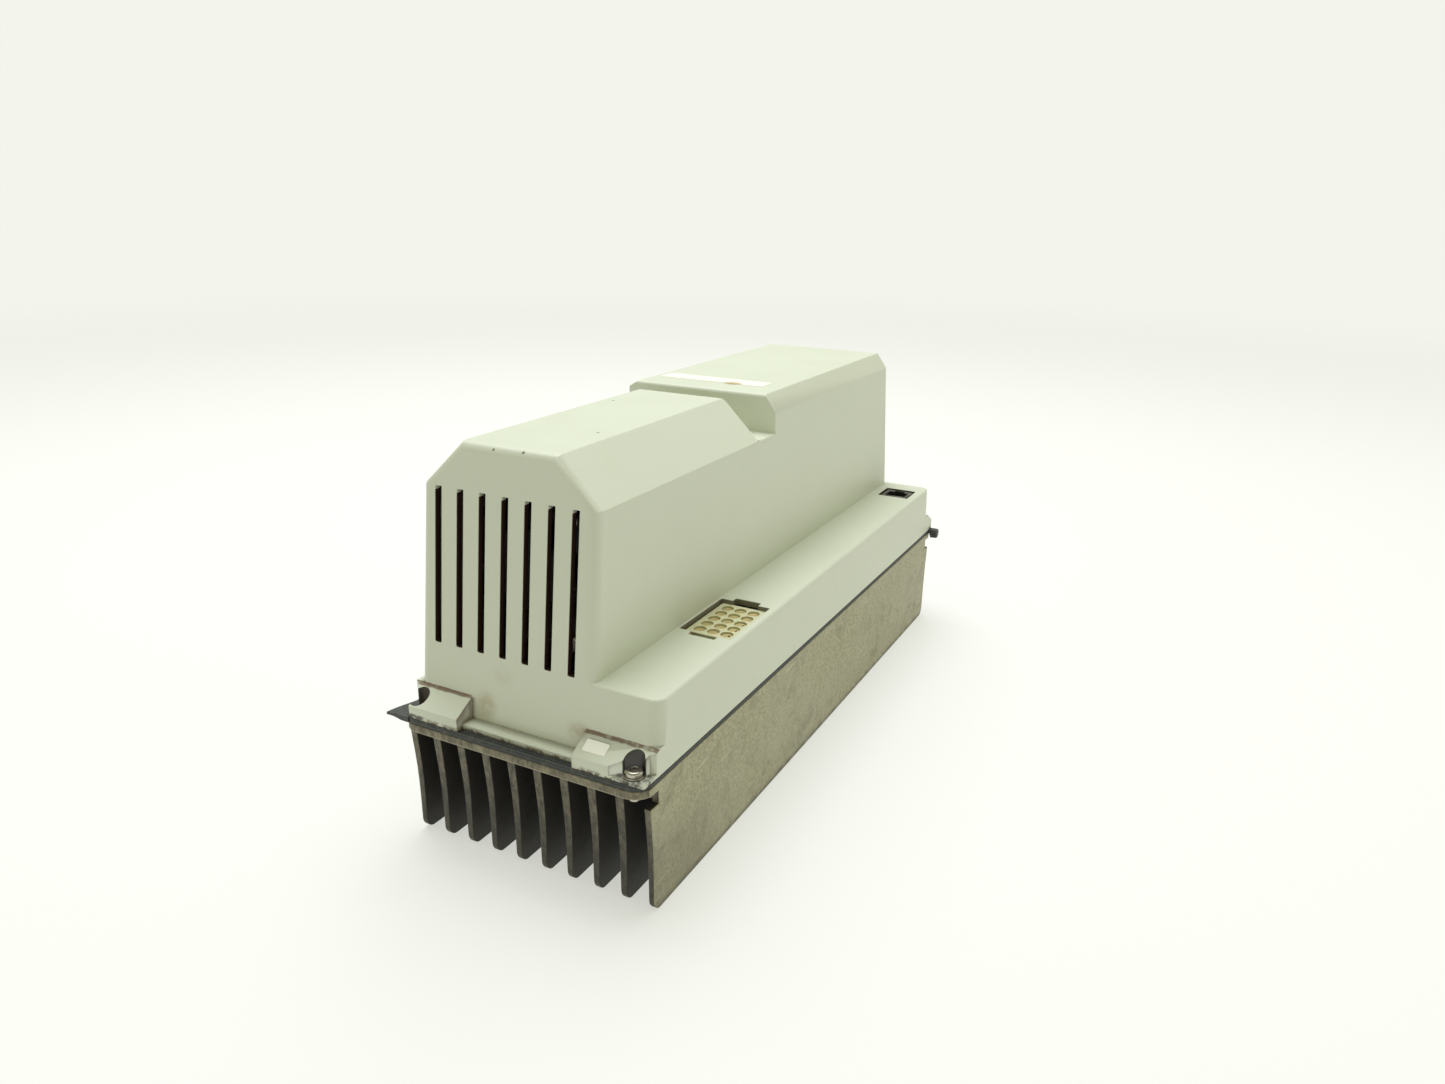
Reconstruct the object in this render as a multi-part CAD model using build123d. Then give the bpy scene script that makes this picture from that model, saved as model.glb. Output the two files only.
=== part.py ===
from build123d import *

import math
import os

# Variable frequency drive: a finned heatsink with a moulded hood on a rubber gasket, the
# power and control electronics under the hood, and a fan that turns behind the front slots.
#
# Millimetres. +Z is up, -Y is the vented front, +X is the side with the low ledge and its
# sockets. The origin is on the plane of the fin tips, under the middle of the flange.

os.makedirs("parts", exist_ok=True)

# ---------------------------------------------------------------- driving dimensions

# Heatsink
WIDTH = 115.2                # across the flange and the outer fins
LENGTH = 352.0               # of the flange
FIN_HEIGHT = 51.7            # fin tips to the flange's underside
FLANGE_T = 3.3
FLANGE_CORNER_R = 8.0
CORE_T = 12.0                # solid metal under the electronics, flange included
CORE_END_GAP = 18.0          # flange end to the core
FIN_COUNT = 10
FIN_TIP_T = 2.6
FIN_ROOT_T = 3.9
FIN_TIP_R = 0.7
FIN_ROOT_FLARE = (1.5, 2.2)  # each side's spread where a fin meets the flange, and its height
FIN_SETBACK = 7.5            # flange end to the fin's end, over its lower half
FIN_ROOT_SETBACK = 4.6       # the same at the flange: the end bends forward
FIN_BEND_Z = 27.0
FIN_BEND_R = 200.0
FIN_HEEL_R = 5.0
NOTCH_H = 5.7                # relief under the flange in the ledge side's outer fin
NOTCH_LENGTH = 11.2

# Gasket
GASKET_T = 2.5
GASKET_END_BAND = 14.0
GASKET_SIDE_BAND = 7.0
GASKET_INNER_R = 3.0
FLAP_OUT = 7.6               # the rubber's front end, past the flange's plain side
FLAP_LENGTH = 46.0
TAB_OUT = 5.5                # its rear end, past the ledge side
TAB_LENGTH = 5.0
TAB_DROOP = 2.9              # below the flange's top
TAB_GAP = 0.6                # flange's side to the part that hangs

# Cover
COVER_T = 3.0
LEDGE_HEIGHT = 29.2          # cover's seat to the ledge's top
GROOVE_HEIGHT = 93.0         # cover's seat to the groove's floor
COVER_HEIGHT = 111.4         # cover's seat to the roof
COVER_LEFT_INSET = 2.4       # flange's side to the plain side wall
COVER_END_INSET = 9.4        # flange's end to the end wall, at the seat
COVER_END_LEAN = 0.105       # end walls lean in, mm per mm of height
COVER_LEFT_DRAFT = 0.014
HOOD_RIGHT_DRAFT = 0.021
HOOD_WIDTH = 84.25           # at the ledge
GROOVE_FRONT = 141.2         # front end wall's foot to the finger groove
GROOVE_WIDTH = 18.1
REAR_BEVEL_RIGHT = (5.5, 8.7)
REAR_BEVEL_LEFT = (4.9, 3.2)
END_ROUND_R = 4.0
LEDGE_CORNER_R = 5.5
LEDGE_EDGE_R = 1.2
GROOVE_EDGE_R = 2.0

# Vent slots, in both end walls
SLOT_COUNT = 7
SLOT_WIDTH = 3.0
SLOT_PITCH = 10.71
SLOT_RISE = 0.8              # above the ledge's level
SLOT_HEIGHT = 62.9
SLOT_START = 8.1             # cover's plain side to the first slot

# Feet and the lip between them
FOOT_WIDTH_LEFT = 29.5
FOOT_WIDTH_RIGHT = 31.2
FOOT_INSET = 0.6
FOOT_FRONT_H = 5.2
FOOT_BACK_H = 10.9
FOOT_CORNER_R = 1.0
LIP_INSET = 3.5
LIP_H = 2.0

# Cover screws
SCREW_END_INSET = 5.1        # flange's end to the screw's axis
SCREW_SIDE_INSET = 6.9
SCREW_R = 2.0
SCREW_HEAD_R = 3.5
SCREW_HEAD_H = 2.2
SCREW_WASHER_R = 4.0
SCREW_WASHER_T = 0.6
SCREW_TAIL = 2.5             # past the flange's underside
FOOT_WEB_T = 1.5             # plastic under the washer
WELL_CLEARANCE = 0.1

# Power socket
SOCKET_COLUMNS = 3
SOCKET_ROWS = 5
SOCKET_PITCH = 6.35
CAVITY_R = 2.73
CAVITY_DEPTH = 11.0
CONTACT_R = 2.45
CONTACT_BORE_R = 1.1
CONTACT_DROP = 0.8           # socket's face to the contacts' mouths
CONTACT_TAIL = 2.0           # past the board's underside
SOCKET_FROM_SIDE = 15.4
SOCKET_FROM_FRONT = 94.0
SOCKET_RIM = 2.0             # around the cavities
SOCKET_RECESS = 2.0          # ledge's top to the socket's face
SOCKET_GAP = 0.8             # all round, in its window
LATCH_WIDTH = 12.2
LATCH_DEPTH = 3.3
WINDOW_SHIFT = -1.55         # the power window's middle, from the socket's

# Service jack
JACK_FROM_SIDE = 13.85
JACK_FROM_REAR = 34.3
JACK_WINDOW = (18.1, 17.5)
JACK_GAP = 1.0
JACK_RECESS = 0.6
JACK_PORT = (11.7, 8.4)
JACK_PORT_DEPTH = 11.0
JACK_LATCH = (6.0, 2.6)
JACK_CONTACT_COUNT = 8
JACK_CONTACT_PITCH = 1.02
JACK_CONTACT_T = 0.5

# Power board, low over the heatsink
BOARD_T = 1.6
BOARD_LIFT = 12.3            # heatsink to the board's underside
BOARD_SIDE_GAP = 2.2         # cover's inside to the board's long edges
BOARD_FRONT = 66.0           # flange's front end to the board
BOARD_REAR = 20.0
POST_AF = 5.5                # hexagon posts, across flats
POST_END_INSET = 5.2         # board's ends to the posts
POST_FROM_SOCKET = 5.4       # power socket's front to the post before it
M3_R = 1.5
M3_HEAD_R = 2.75
M3_HEAD_H = 1.8
POST_STUD = 6.0
POST_SCREW = 6.0
THREAD_GAP = 0.05            # radial, between a thread and its hole
HOLE_GAP = 0.2               # radial, a screw or pin in a clear hole

# Power modules under the board
PAD_T = 0.3
MODULE_PLATE_T = 3.0
MODULE_OFFSET_X = -3.0       # from the hood's middle, as are the other offsets in X
MODULE_END_GAP = 8.0         # board's ends to the modules
INVERTER_SIZE = (45.0, 107.0)
RECTIFIER_SIZE = (36.0, 80.0)
MODULE_EAR = 8.0
MODULE_SIDE_STEP = 1.0
PIN_R = 0.5
PIN_PITCH = 7.6
MODULE_SCREW_R = 2.0
MODULE_SCREW_HEAD_R = 3.4
MODULE_SCREW_HEAD_H = 2.6
MODULE_SCREW_GRIP = 8.0

# Parts on the power board
CAP_ROWS = 4
CAP_COLUMNS = 2
CAP_H = 60.0
CAP_GAP = 2.0
CAP_WALL_GAP = 1.0           # least, from the cans' cells to the hood's inside
CAP_OFFSET_X = 1.0
CAP_FRONT_GAP = 8.5          # board's front to the first cans
REAR_GROUP_LENGTH = 109.5    # of the board, kept for the parts behind the cans
FILM_CAP = (11.0, 22.0, 22.0)
FILM_CAP_OFFSET_X = -25.0
FILM_CAP_FROM_REAR = 79.0    # board's rear end to the middle, as are the next four
FILM_CAP_GAP = 1.0
CHOKE_OFFSET_X = -12.0
CHOKE_FROM_REAR = 40.0
CHOKE_CORE = (21.0, 11.0, 18.0)
CHOKE_BASE_T = 2.0
CHOKE_WIRE_R = 1.1
CHOKE_TURNS = 16
RELAY = (15.0, 28.0, 13.5)
RELAY_FROM_SIDE = 23.6
RELAY_FROM_SOCKET = 50.0
SENSOR = (10.0, 22.0, 13.0)
SENSOR_COUNT = 3
SENSOR_GAP = 5.0
TRANSFORMER = (24.0, 22.0, 24.0)
TRANSFORMER_OFFSET_X = 6.0
TRANSFORMER_FROM_REAR = 84.0

# Control board, on posts over the power board's rear half
CONTROL_LIFT = 42.0
CONTROL_T = 1.6
CONTROL_SIZE = (56.0, 96.0)
CONTROL_OFFSET_X = -1.0
CONTROL_FROM_REAR = 52.0
CONTROL_POST_INSET = 4.0
CHIP_MAIN = (20.0, 20.0, 1.6)
CHIP_SMALL = (8.0, 12.0, 2.0)
RIBBON_WIDTH = 34.0
RIBBON_T = 1.0
RIBBON_BEND_R = 4.0
HEADER_H = 9.0
HEADER_W = 8.0
HEADER_WALL_GAP = 2.4        # hood's inside to the lower header
HEADER_FROM_REAR = 36.0

# Fan, behind the front slots
FAN_SIZE = 60.0
FAN_DEPTH = 25.0
FAN_Z = 119.0
FAN_FRONT = 26.0             # flange's front end to the fan's front face
FAN_WALL = 1.2               # thinnest, from the duct's bore to the fan's side
FAN_TIP_GAP = 0.9
FAN_FLANGE_T = 3.6
FAN_HOLE_INSET = 5.0
FAN_SCREW_R = 2.0
FAN_SCREW_HEAD_R = 3.6
FAN_SCREW_HEAD_H = 2.2
FAN_NUT_T = 3.2
FAN_STRUTS = 4
FAN_STRUT_W = 3.0
FAN_STRUT_T = 3.0
HUB_R = 17.0
HUB_T = 1.4
HUB_LENGTH = 19.0
HUB_FRONT_GAP = 1.5          # fan's front face to the hub
BLADE_COUNT = 7
BLADE_T = 1.3
BLADE_CHORD = 22.0
BLADE_TWIST = 42.0
BLADE_FRONT_GAP = 3.0
BLADE_REAR_GAP = 5.0
SHAFT_R = 1.5
SHAFT_CLEARANCE = 0.03
BEARING_R = 4.0
BEARING_T = 3.0
BEARING_TUBE_R = 5.2
MAGNET_T = 1.6
STATOR_R = 12.8
STATOR_T = 7.0
STATOR_POLES = 4
STATOR_POLE_W = 5.0
COIL_T = 1.6
FAN_BRACKET_T = 1.5
FAN_BRACKET_FOOT = 14.0
FAN_BRACKET_MARGIN = 1.0
FAN_LEAD_R = 1.1
FAN_LEAD_BEND_R = 3.0
FAN_PLUG = (8.0, 6.0, 8.0)

# Labels and small parts
LABEL_T = 0.15
ROOF_LABEL = (58.0, 12.0)
ROOF_LABEL_OFFSET_X = -3.7
ROOF_LABEL_GAP = 17.3        # groove to the label
FOOT_LABEL = (10.0, 5.0)
FOOT_LABEL_INSET = 7.6       # foot's inner end to the label's middle
THERMISTOR = (9.0, 7.0, 3.5)
THERMISTOR_OFFSET_X = 35.0
THERMISTOR_FROM_REAR = 94.0

# ---------------------------------------------------------------- levels and places

SIDE = WIDTH / 2
END = LENGTH / 2
FLANGE_TOP = FIN_HEIGHT + FLANGE_T
SEAT = FLANGE_TOP + GASKET_T
LEDGE_TOP = SEAT + LEDGE_HEIGHT
GROOVE_FLOOR = SEAT + GROOVE_HEIGHT
ROOF = SEAT + COVER_HEIGHT
COVER_LEFT = -SIDE + COVER_LEFT_INSET
COVER_RIGHT = SIDE
HOOD_RIGHT = COVER_LEFT + COVER_LEFT_DRAFT * LEDGE_HEIGHT + HOOD_WIDTH
GROOVE_Y = -END + COVER_END_INSET + GROOVE_FRONT
SCREW_X = SIDE - SCREW_SIDE_INSET
SCREW_Y = END - SCREW_END_INSET
BOARD_LEFT = COVER_LEFT + COVER_T + BOARD_SIDE_GAP
BOARD_RIGHT = COVER_RIGHT - COVER_T - BOARD_SIDE_GAP
BOARD_Y0 = -END + BOARD_FRONT
BOARD_Y1 = END - BOARD_REAR
BOARD_BOTTOM = FLANGE_TOP + BOARD_LIFT
BOARD_TOP = BOARD_BOTTOM + BOARD_T
CONTROL_BOTTOM = BOARD_TOP + CONTROL_LIFT
CONTROL_TOP = CONTROL_BOTTOM + CONTROL_T
HOOD_X = (COVER_LEFT + HOOD_RIGHT) / 2
FAN_X = HOOD_X
FAN_BORE_R = FAN_SIZE / 2 - FAN_WALL
FAN_HOLE_SPACING = FAN_SIZE - 2 * FAN_HOLE_INSET
FAN_Y0 = -END + FAN_FRONT
FAN_Y1 = FAN_Y0 + FAN_DEPTH
FAR = 2 * (LENGTH + ROOF)    # beyond everything, for cutting tools

# Screws stand in three feet; the plain side's front foot has lost its own.
SCREW_SPOTS = [(SCREW_X, -SCREW_Y), (SCREW_X, SCREW_Y), (-SCREW_X, SCREW_Y)]
EMPTY_SPOT = (-SCREW_X, -SCREW_Y)

SOCKET_HALF_X = (SOCKET_COLUMNS - 1) / 2 * SOCKET_PITCH + CAVITY_R + SOCKET_RIM
SOCKET_HALF_Y = (SOCKET_ROWS - 1) / 2 * SOCKET_PITCH + CAVITY_R + SOCKET_RIM
SOCKET_FACE = LEDGE_TOP - SOCKET_RECESS
SOCKET_X = SIDE - SOCKET_FROM_SIDE
SOCKET_Y = -END + SOCKET_FROM_FRONT
JACK_X = SIDE - JACK_FROM_SIDE
JACK_Y = END - JACK_FROM_REAR
MODULE_X = HOOD_X + MODULE_OFFSET_X
INVERTER_Y = BOARD_Y1 - MODULE_END_GAP - INVERTER_SIZE[1] / 2
RECTIFIER_Y = BOARD_Y0 + MODULE_END_GAP + RECTIFIER_SIZE[1] / 2
CAP_X = HOOD_X + CAP_OFFSET_X
# Each can is as wide as its cell, the smaller of its shares of the board's front and of the hood.
CAP_ROOM_Y = BOARD_Y1 - REAR_GROUP_LENGTH - BOARD_Y0 - CAP_FRONT_GAP
CAP_ROOM_X = HOOD_RIGHT - COVER_LEFT - 2 * (COVER_T + CAP_WALL_GAP)
CAP_PITCH = min(CAP_ROOM_Y / CAP_ROWS, CAP_ROOM_X / CAP_COLUMNS)
CAP_R = (CAP_PITCH - CAP_GAP) / 2
CAP_FIRST_Y = BOARD_Y0 + CAP_FRONT_GAP + CAP_R
FILM_CAP_X = HOOD_X + FILM_CAP_OFFSET_X
FILM_CAP_Y = BOARD_Y1 - FILM_CAP_FROM_REAR
CHOKE_X = HOOD_X + CHOKE_OFFSET_X
CHOKE_Y = BOARD_Y1 - CHOKE_FROM_REAR
RELAY_X = SIDE - RELAY_FROM_SIDE
RELAY_Y = SOCKET_Y + RELAY_FROM_SOCKET
TRANSFORMER_X = HOOD_X + TRANSFORMER_OFFSET_X
TRANSFORMER_Y = BOARD_Y1 - TRANSFORMER_FROM_REAR
CONTROL_X = HOOD_X + CONTROL_OFFSET_X
CONTROL_Y = BOARD_Y1 - CONTROL_FROM_REAR
HEADER_X = HOOD_RIGHT - COVER_T - HEADER_WALL_GAP - HEADER_W / 2
HEADER_Y = BOARD_Y1 - HEADER_FROM_REAR
THERMISTOR_X = HOOD_X + THERMISTOR_OFFSET_X
THERMISTOR_Y = BOARD_Y1 - THERMISTOR_FROM_REAR

# Posts stand beside the capacitors, between their rows.
POST_X = SIDE - GASKET_SIDE_BAND - POST_AF
CAP_GAP_Y = CAP_FIRST_Y + (CAP_ROWS // 2 - 0.5) * CAP_PITCH
CAP_END_Y = CAP_FIRST_Y + (CAP_ROWS - 0.45) * CAP_PITCH
POST_SPOTS = [(-POST_X, y) for y in (BOARD_Y0 + POST_END_INSET, CAP_GAP_Y, CAP_END_Y)]
POST_SPOTS += [
    (POST_X, SOCKET_Y - SOCKET_HALF_Y - POST_FROM_SOCKET),
    (POST_X, SOCKET_Y + SOCKET_HALF_Y + LATCH_DEPTH + POST_AF),
    (POST_X, CAP_END_Y),
]
POST_SPOTS += [(x, BOARD_Y1 - POST_END_INSET) for x in (-POST_X, HEADER_X)]

CONTROL_SPOTS = [
    (CONTROL_X + sx * (CONTROL_SIZE[0] / 2 - CONTROL_POST_INSET),
     CONTROL_Y + sy * (CONTROL_SIZE[1] / 2 - CONTROL_POST_INSET))
    for sx in (-1, 1) for sy in (-1, 1)
]


# ---------------------------------------------------------------- shape helpers

def block(x0, x1, y0, y1, z0, z1):
    """A box between opposite corners."""
    return Pos((x0 + x1) / 2, (y0 + y1) / 2, (z0 + z1) / 2) * Box(x1 - x0, y1 - y0, z1 - z0)


def stand(x, y, z, size):
    """A box of the given size standing on z."""
    return Pos(x, y, z + size[2] / 2) * Box(*size)


def rod(x, y, z0, z1, radius):
    """An upright cylinder."""
    return Pos(x, y, (z0 + z1) / 2) * Cylinder(radius, z1 - z0)


def fan_rod(y0, y1, radius, x=0.0, z=0.0):
    """A cylinder along Y, placed from the fan's axis."""
    return Pos(FAN_X + x, (y0 + y1) / 2, FAN_Z + z) * Rot(90, 0, 0) * Cylinder(radius, y1 - y0)


def extrude_y(points, y0, y1):
    """An outline of (x, z) points, carried along Y."""
    outline = Plane.XZ.offset(-y1) * make_face(Polyline(*points, close=True))
    return extrude(outline, amount=y1 - y0)


def extrude_x(points, x0, x1):
    """An outline of (y, z) points, carried along X."""
    outline = Plane.YZ.offset(x0) * make_face(Polyline(*points, close=True))
    return extrude(outline, amount=x1 - x0)


def extrude_z(points, z0, z1):
    """An outline of (x, y) points, carried up."""
    outline = Plane.XY.offset(z0) * make_face(Polyline(*points, close=True))
    return extrude(outline, amount=z1 - z0)


def hexagon(x, y, z0, z1, across_flats):
    """An upright hexagonal bar."""
    outline = RegularPolygon(across_flats / 2, 6, major_radius=False)
    return Pos(x, y, z0) * extrude(outline, amount=z1 - z0)


def rounded_plate(half_x, half_y, radius, z0, z1):
    """A plate about the origin with rounded corners."""
    return Pos(0, 0, z0) * extrude(RectangleRounded(2 * half_x, 2 * half_y, radius), amount=z1 - z0)


def button_screw(x, y, seat, head_r, head_h, shank_r, grip):
    """A domed screw with a hexagon socket, its head on seat and its shank below."""
    head = rod(x, y, seat, seat + head_h, head_r)
    crown = head.edges().group_by(Axis.Z)[-1]
    head = fillet(crown, 0.45 * head_h)
    socket = hexagon(x, y, seat + 0.45 * head_h, seat + head_h, 0.75 * head_r)
    return head - socket + rod(x, y, seat - grip, seat, shank_r)


def save(node, shapes):
    """Write one node, a solid or a group of separate solids."""
    solids = [solid for shape in shapes for solid in shape.solids()]
    body = solids[0] if len(solids) == 1 else Compound(children=solids)
    export_step(body, f"parts/{node}.step")


# ---------------------------------------------------------------- heatsink

def fin_outline(index):
    """One tapered fin in the XZ plane; the outermost ones are upright on the outside."""
    pitch = (WIDTH - FIN_TIP_T) / (FIN_COUNT - 1)
    middle = -SIDE + FIN_TIP_T / 2 + index * pitch
    swell = (FIN_ROOT_T - FIN_TIP_T) / 2
    left = 0.0 if index == 0 else swell
    right = 0.0 if index == FIN_COUNT - 1 else swell
    x0 = middle - FIN_TIP_T / 2
    x1 = middle + FIN_TIP_T / 2
    spread, rise = FIN_ROOT_FLARE
    spread_left = spread if left > 0 else 0.0
    spread_right = spread if right > 0 else 0.0
    outline = make_face(Polyline(
        (x0, 0), (x1, 0), (x1 + right, FIN_HEIGHT - rise),
        (x1 + right + spread_right, FIN_HEIGHT), (x1 + right + spread_right, FLANGE_TOP),
        (x0 - left - spread_left, FLANGE_TOP), (x0 - left - spread_left, FIN_HEIGHT),
        (x0 - left, FIN_HEIGHT - rise), close=True
    ))
    return fillet(outline.vertices().group_by(Axis.Y)[0], FIN_TIP_R)


def heatsink():
    fins = Plane.XZ.offset(-END) * Sketch(children=[fin_outline(i) for i in range(FIN_COUNT)])
    comb = extrude(fins, amount=LENGTH)
    side_view = make_face(Polyline(
        (-END + FIN_SETBACK, 0), (END - FIN_SETBACK, 0), (END - FIN_SETBACK, FIN_BEND_Z),
        (END - FIN_ROOT_SETBACK, FLANGE_TOP), (-END + FIN_ROOT_SETBACK, FLANGE_TOP),
        (-END + FIN_SETBACK, FIN_BEND_Z), close=True
    ))
    side_view = fillet(side_view.vertices().group_by(Axis.Y)[1], FIN_BEND_R)
    side_view = fillet(side_view.vertices().group_by(Axis.Y)[0], FIN_HEEL_R)
    comb = comb & extrude(Plane.YZ.offset(-SIDE) * side_view, amount=WIDTH)
    core_end = END - CORE_END_GAP
    core = block(-SIDE, SIDE, -core_end, core_end, FLANGE_TOP - CORE_T, FLANGE_TOP)
    body = rounded_plate(SIDE, END, FLANGE_CORNER_R, FIN_HEIGHT, FLANGE_TOP) + core + comb
    for sign in (-1, 1):
        y0, y1 = sorted((sign * (END - NOTCH_LENGTH), sign * FAR))
        body -= block(SIDE - FIN_ROOT_T, FAR, y0, y1, FIN_HEIGHT - NOTCH_H, FIN_HEIGHT)
    for x, y in SCREW_SPOTS + [EMPTY_SPOT]:
        body -= rod(x, y, 0, FLANGE_TOP, SCREW_R + THREAD_GAP)
    for x, y in POST_SPOTS:
        body -= rod(x, y, FLANGE_TOP - POST_STUD, FLANGE_TOP, M3_R + THREAD_GAP)
    for x, y in module_screw_spots():
        body -= rod(x, y, FLANGE_TOP - MODULE_SCREW_GRIP, FLANGE_TOP, MODULE_SCREW_R + THREAD_GAP)
    for x, y in bracket_spots() + [thermistor_spot()]:
        body -= rod(x, y, FLANGE_TOP - POST_STUD, FLANGE_TOP, M3_R + THREAD_GAP)
    return body


# ---------------------------------------------------------------- gasket

def gasket():
    """A flat frame; its ends stand out past opposite corners, as a pointed flap and a lump."""
    ring = rounded_plate(SIDE, END, FLANGE_CORNER_R, FLANGE_TOP, SEAT)
    tip_y = -END + FOOT_INSET
    flap = extrude_z([
        (-SIDE + FLANGE_CORNER_R, tip_y),
        (-SIDE - FLAP_OUT, tip_y),
        (-SIDE - 0.5 * FLAP_OUT, tip_y + 0.28 * FLAP_LENGTH),
        (-SIDE, tip_y + FLAP_LENGTH),
        (-SIDE + FLANGE_CORNER_R, tip_y + FLAP_LENGTH),
    ], FLANGE_TOP, SEAT)
    ring += flap
    tab_y = END - FOOT_INSET
    ring += block(SIDE - FLANGE_CORNER_R, SIDE + TAB_OUT, tab_y - TAB_LENGTH, tab_y, FLANGE_TOP, SEAT)
    ring += block(SIDE + TAB_GAP, SIDE + TAB_OUT, tab_y - TAB_LENGTH, tab_y,
                  FLANGE_TOP - TAB_DROOP, FLANGE_TOP)
    inner_x = SIDE - GASKET_SIDE_BAND
    inner_y = END - GASKET_END_BAND
    ring -= rounded_plate(inner_x, inner_y, GASKET_INNER_R, FLANGE_TOP, SEAT)
    for x, y in SCREW_SPOTS + [EMPTY_SPOT]:
        ring -= rod(x, y, FLANGE_TOP, SEAT, SCREW_R + HOLE_GAP)
    return ring


# ---------------------------------------------------------------- cover

def end_wall_y(z):
    """Distance from the middle to the outside of an end wall, at height z."""
    return END - COVER_END_INSET - COVER_END_LEAN * (z - SEAT)


def left_wall_x(z):
    return COVER_LEFT + COVER_LEFT_DRAFT * (z - SEAT)


def hood_wall_x(z):
    return HOOD_RIGHT - HOOD_RIGHT_DRAFT * (z - LEDGE_TOP)


def cover_section(top, bevel_left, bevel_right):
    """The cover's outline across Y, from below its seat up to one of its tops."""
    low = SEAT - 2 * COVER_T
    points = [
        (left_wall_x(low), low),
        (left_wall_x(top - bevel_left[1]), top - bevel_left[1]),
        (left_wall_x(top) + bevel_left[0], top),
        (hood_wall_x(top) - bevel_right[0], top),
        (hood_wall_x(top - bevel_right[1]), top - bevel_right[1]),
        (HOOD_RIGHT, LEDGE_TOP),
        (COVER_RIGHT, LEDGE_TOP),
        (COVER_RIGHT, low),
    ]
    return make_face(Polyline(*points, close=True))


def cover_mass(inset):
    """The cover's outer shape, or with an inset the hollow inside its walls."""
    def slice_of(section, y0, y1):
        if inset > 0:
            section = offset(section, amount=-inset, kind=Kind.INTERSECTION)
        return extrude(Plane.XZ.offset(-y1) * section, amount=y1 - y0)

    step = ROOF - GROOVE_FLOOR
    edge = 0.02              # a plain top corner, as the groove's has no bevel
    mass = slice_of(cover_section(ROOF, (step, step), (step, step)), -END, GROOVE_Y - inset)
    mass += slice_of(cover_section(GROOVE_FLOOR, (edge, edge), (edge, edge)), -END, END)
    rear = cover_section(ROOF, REAR_BEVEL_LEFT, REAR_BEVEL_RIGHT)
    mass += slice_of(rear, GROOVE_Y + GROOVE_WIDTH + inset, END)
    side_view = [
        (-end_wall_y(SEAT) + inset, SEAT), (end_wall_y(SEAT) - inset, SEAT),
        (end_wall_y(ROOF) - inset, ROOF), (-end_wall_y(ROOF) + inset, ROOF),
    ]
    return mass & extrude_x(side_view, -FAR, FAR)


def on_end_wall(edge, sign):
    """Whether an edge lies wholly in the outside of the front (-1) or rear (1) wall."""
    return all(abs(sign * v.Y - end_wall_y(v.Z)) < 0.01 for v in edge.vertices())


def rounded_cover_mass():
    mass = cover_mass(0.0)
    for sign in (-1, 1):
        ledge_corner = [
            e for e in mass.edges()
            if on_end_wall(e, sign) and all(abs(v.X - COVER_RIGHT) < 0.01 for v in e.vertices())
        ]
        mass = fillet(ledge_corner, LEDGE_CORNER_R)
        hood_ends = [
            e for e in mass.edges()
            if on_end_wall(e, sign) and e.center().Z > LEDGE_TOP + 1.0
        ]
        mass = fillet(hood_ends, END_ROUND_R)
    ledge_rim = [
        e for e in mass.edges()
        if all(abs(v.Z - LEDGE_TOP) < 0.01 for v in e.vertices()) and e.center().X > HOOD_RIGHT + 1.0
    ]
    mass = fillet(ledge_rim, LEDGE_EDGE_R)
    groove_edges = [
        e for e in mass.edges()
        if all(abs(v.Z - ROOF) < 0.01 for v in e.vertices())
        and GROOVE_Y - 1.0 < e.center().Y < GROOVE_Y + GROOVE_WIDTH + 1.0
        and abs(e.vertices()[0].Y - e.vertices()[-1].Y) < 0.01
    ]
    return fillet(groove_edges, GROOVE_EDGE_R)


def foot(x0, x1, sign):
    """A foot on the front (-1) or rear (1) wall, with a top that slopes down outwards."""
    inner = COVER_END_INSET + 2 * COVER_T
    points = [
        (sign * (END - FOOT_INSET), SEAT),
        (sign * (END - FOOT_INSET), SEAT + FOOT_FRONT_H),
        (sign * end_wall_y(SEAT + FOOT_BACK_H), SEAT + FOOT_BACK_H),
        (sign * (END - inner), SEAT + FOOT_BACK_H),
        (sign * (END - inner), SEAT),
    ]
    body = extrude_x(points, x0, x1)
    outer = x0 if abs(x0) > abs(x1) else x1
    corner = [
        e for e in body.edges()
        if all(abs(v.X - outer) < 0.01 and abs(abs(v.Y) - END + FOOT_INSET) < 0.01
               for v in e.vertices())
    ]
    return fillet(corner, FOOT_CORNER_R)


def screw_well(x, y):
    """The counterbore over the web, and the screw's clear hole through it."""
    well = rod(x, y, SEAT + FOOT_WEB_T, SEAT + FOOT_BACK_H + 1, SCREW_WASHER_R + WELL_CLEARANCE)
    return well + rod(x, y, SEAT, SEAT + FOOT_WEB_T, SCREW_R + HOLE_GAP)


def broken_ledge_foot():
    """The front corner on the ledge side is snapped off above the web, ahead of its screw."""
    x = SCREW_X
    y = -SCREW_Y
    return extrude_z([
        (x - 9.5, y - 7.0), (x - 8.0, y - 4.0), (x - 5.6, y - 2.4), (x - 3.4, y - 0.6),
        (x + 3.6, y + 0.8), (x + 4.6, y + 3.2), (x + 9.0, y + 5.4), (x + 9.0, y - 7.0),
    ], SEAT + FOOT_WEB_T, SEAT + FOOT_BACK_H)


def broken_plain_foot():
    """The plain side's front corner is gone right through, and opens the screw's hole."""
    x = -SCREW_X
    y = -SCREW_Y
    return extrude_z([
        (x - 1.2, y - 7.0), (x - 2.0, y - 4.4), (x - 1.4, y - 3.4), (x - 3.2, y - 2.2),
        (x - 2.0, y + 0.6), (x - 3.6, y + 3.2), (x - 4.4, y + 4.0), (x - 5.4, y + 6.2),
        (x - 9.0, y + 6.2), (x - 9.0, y - 7.0),
    ], SEAT, SEAT + FOOT_BACK_H)


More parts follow.
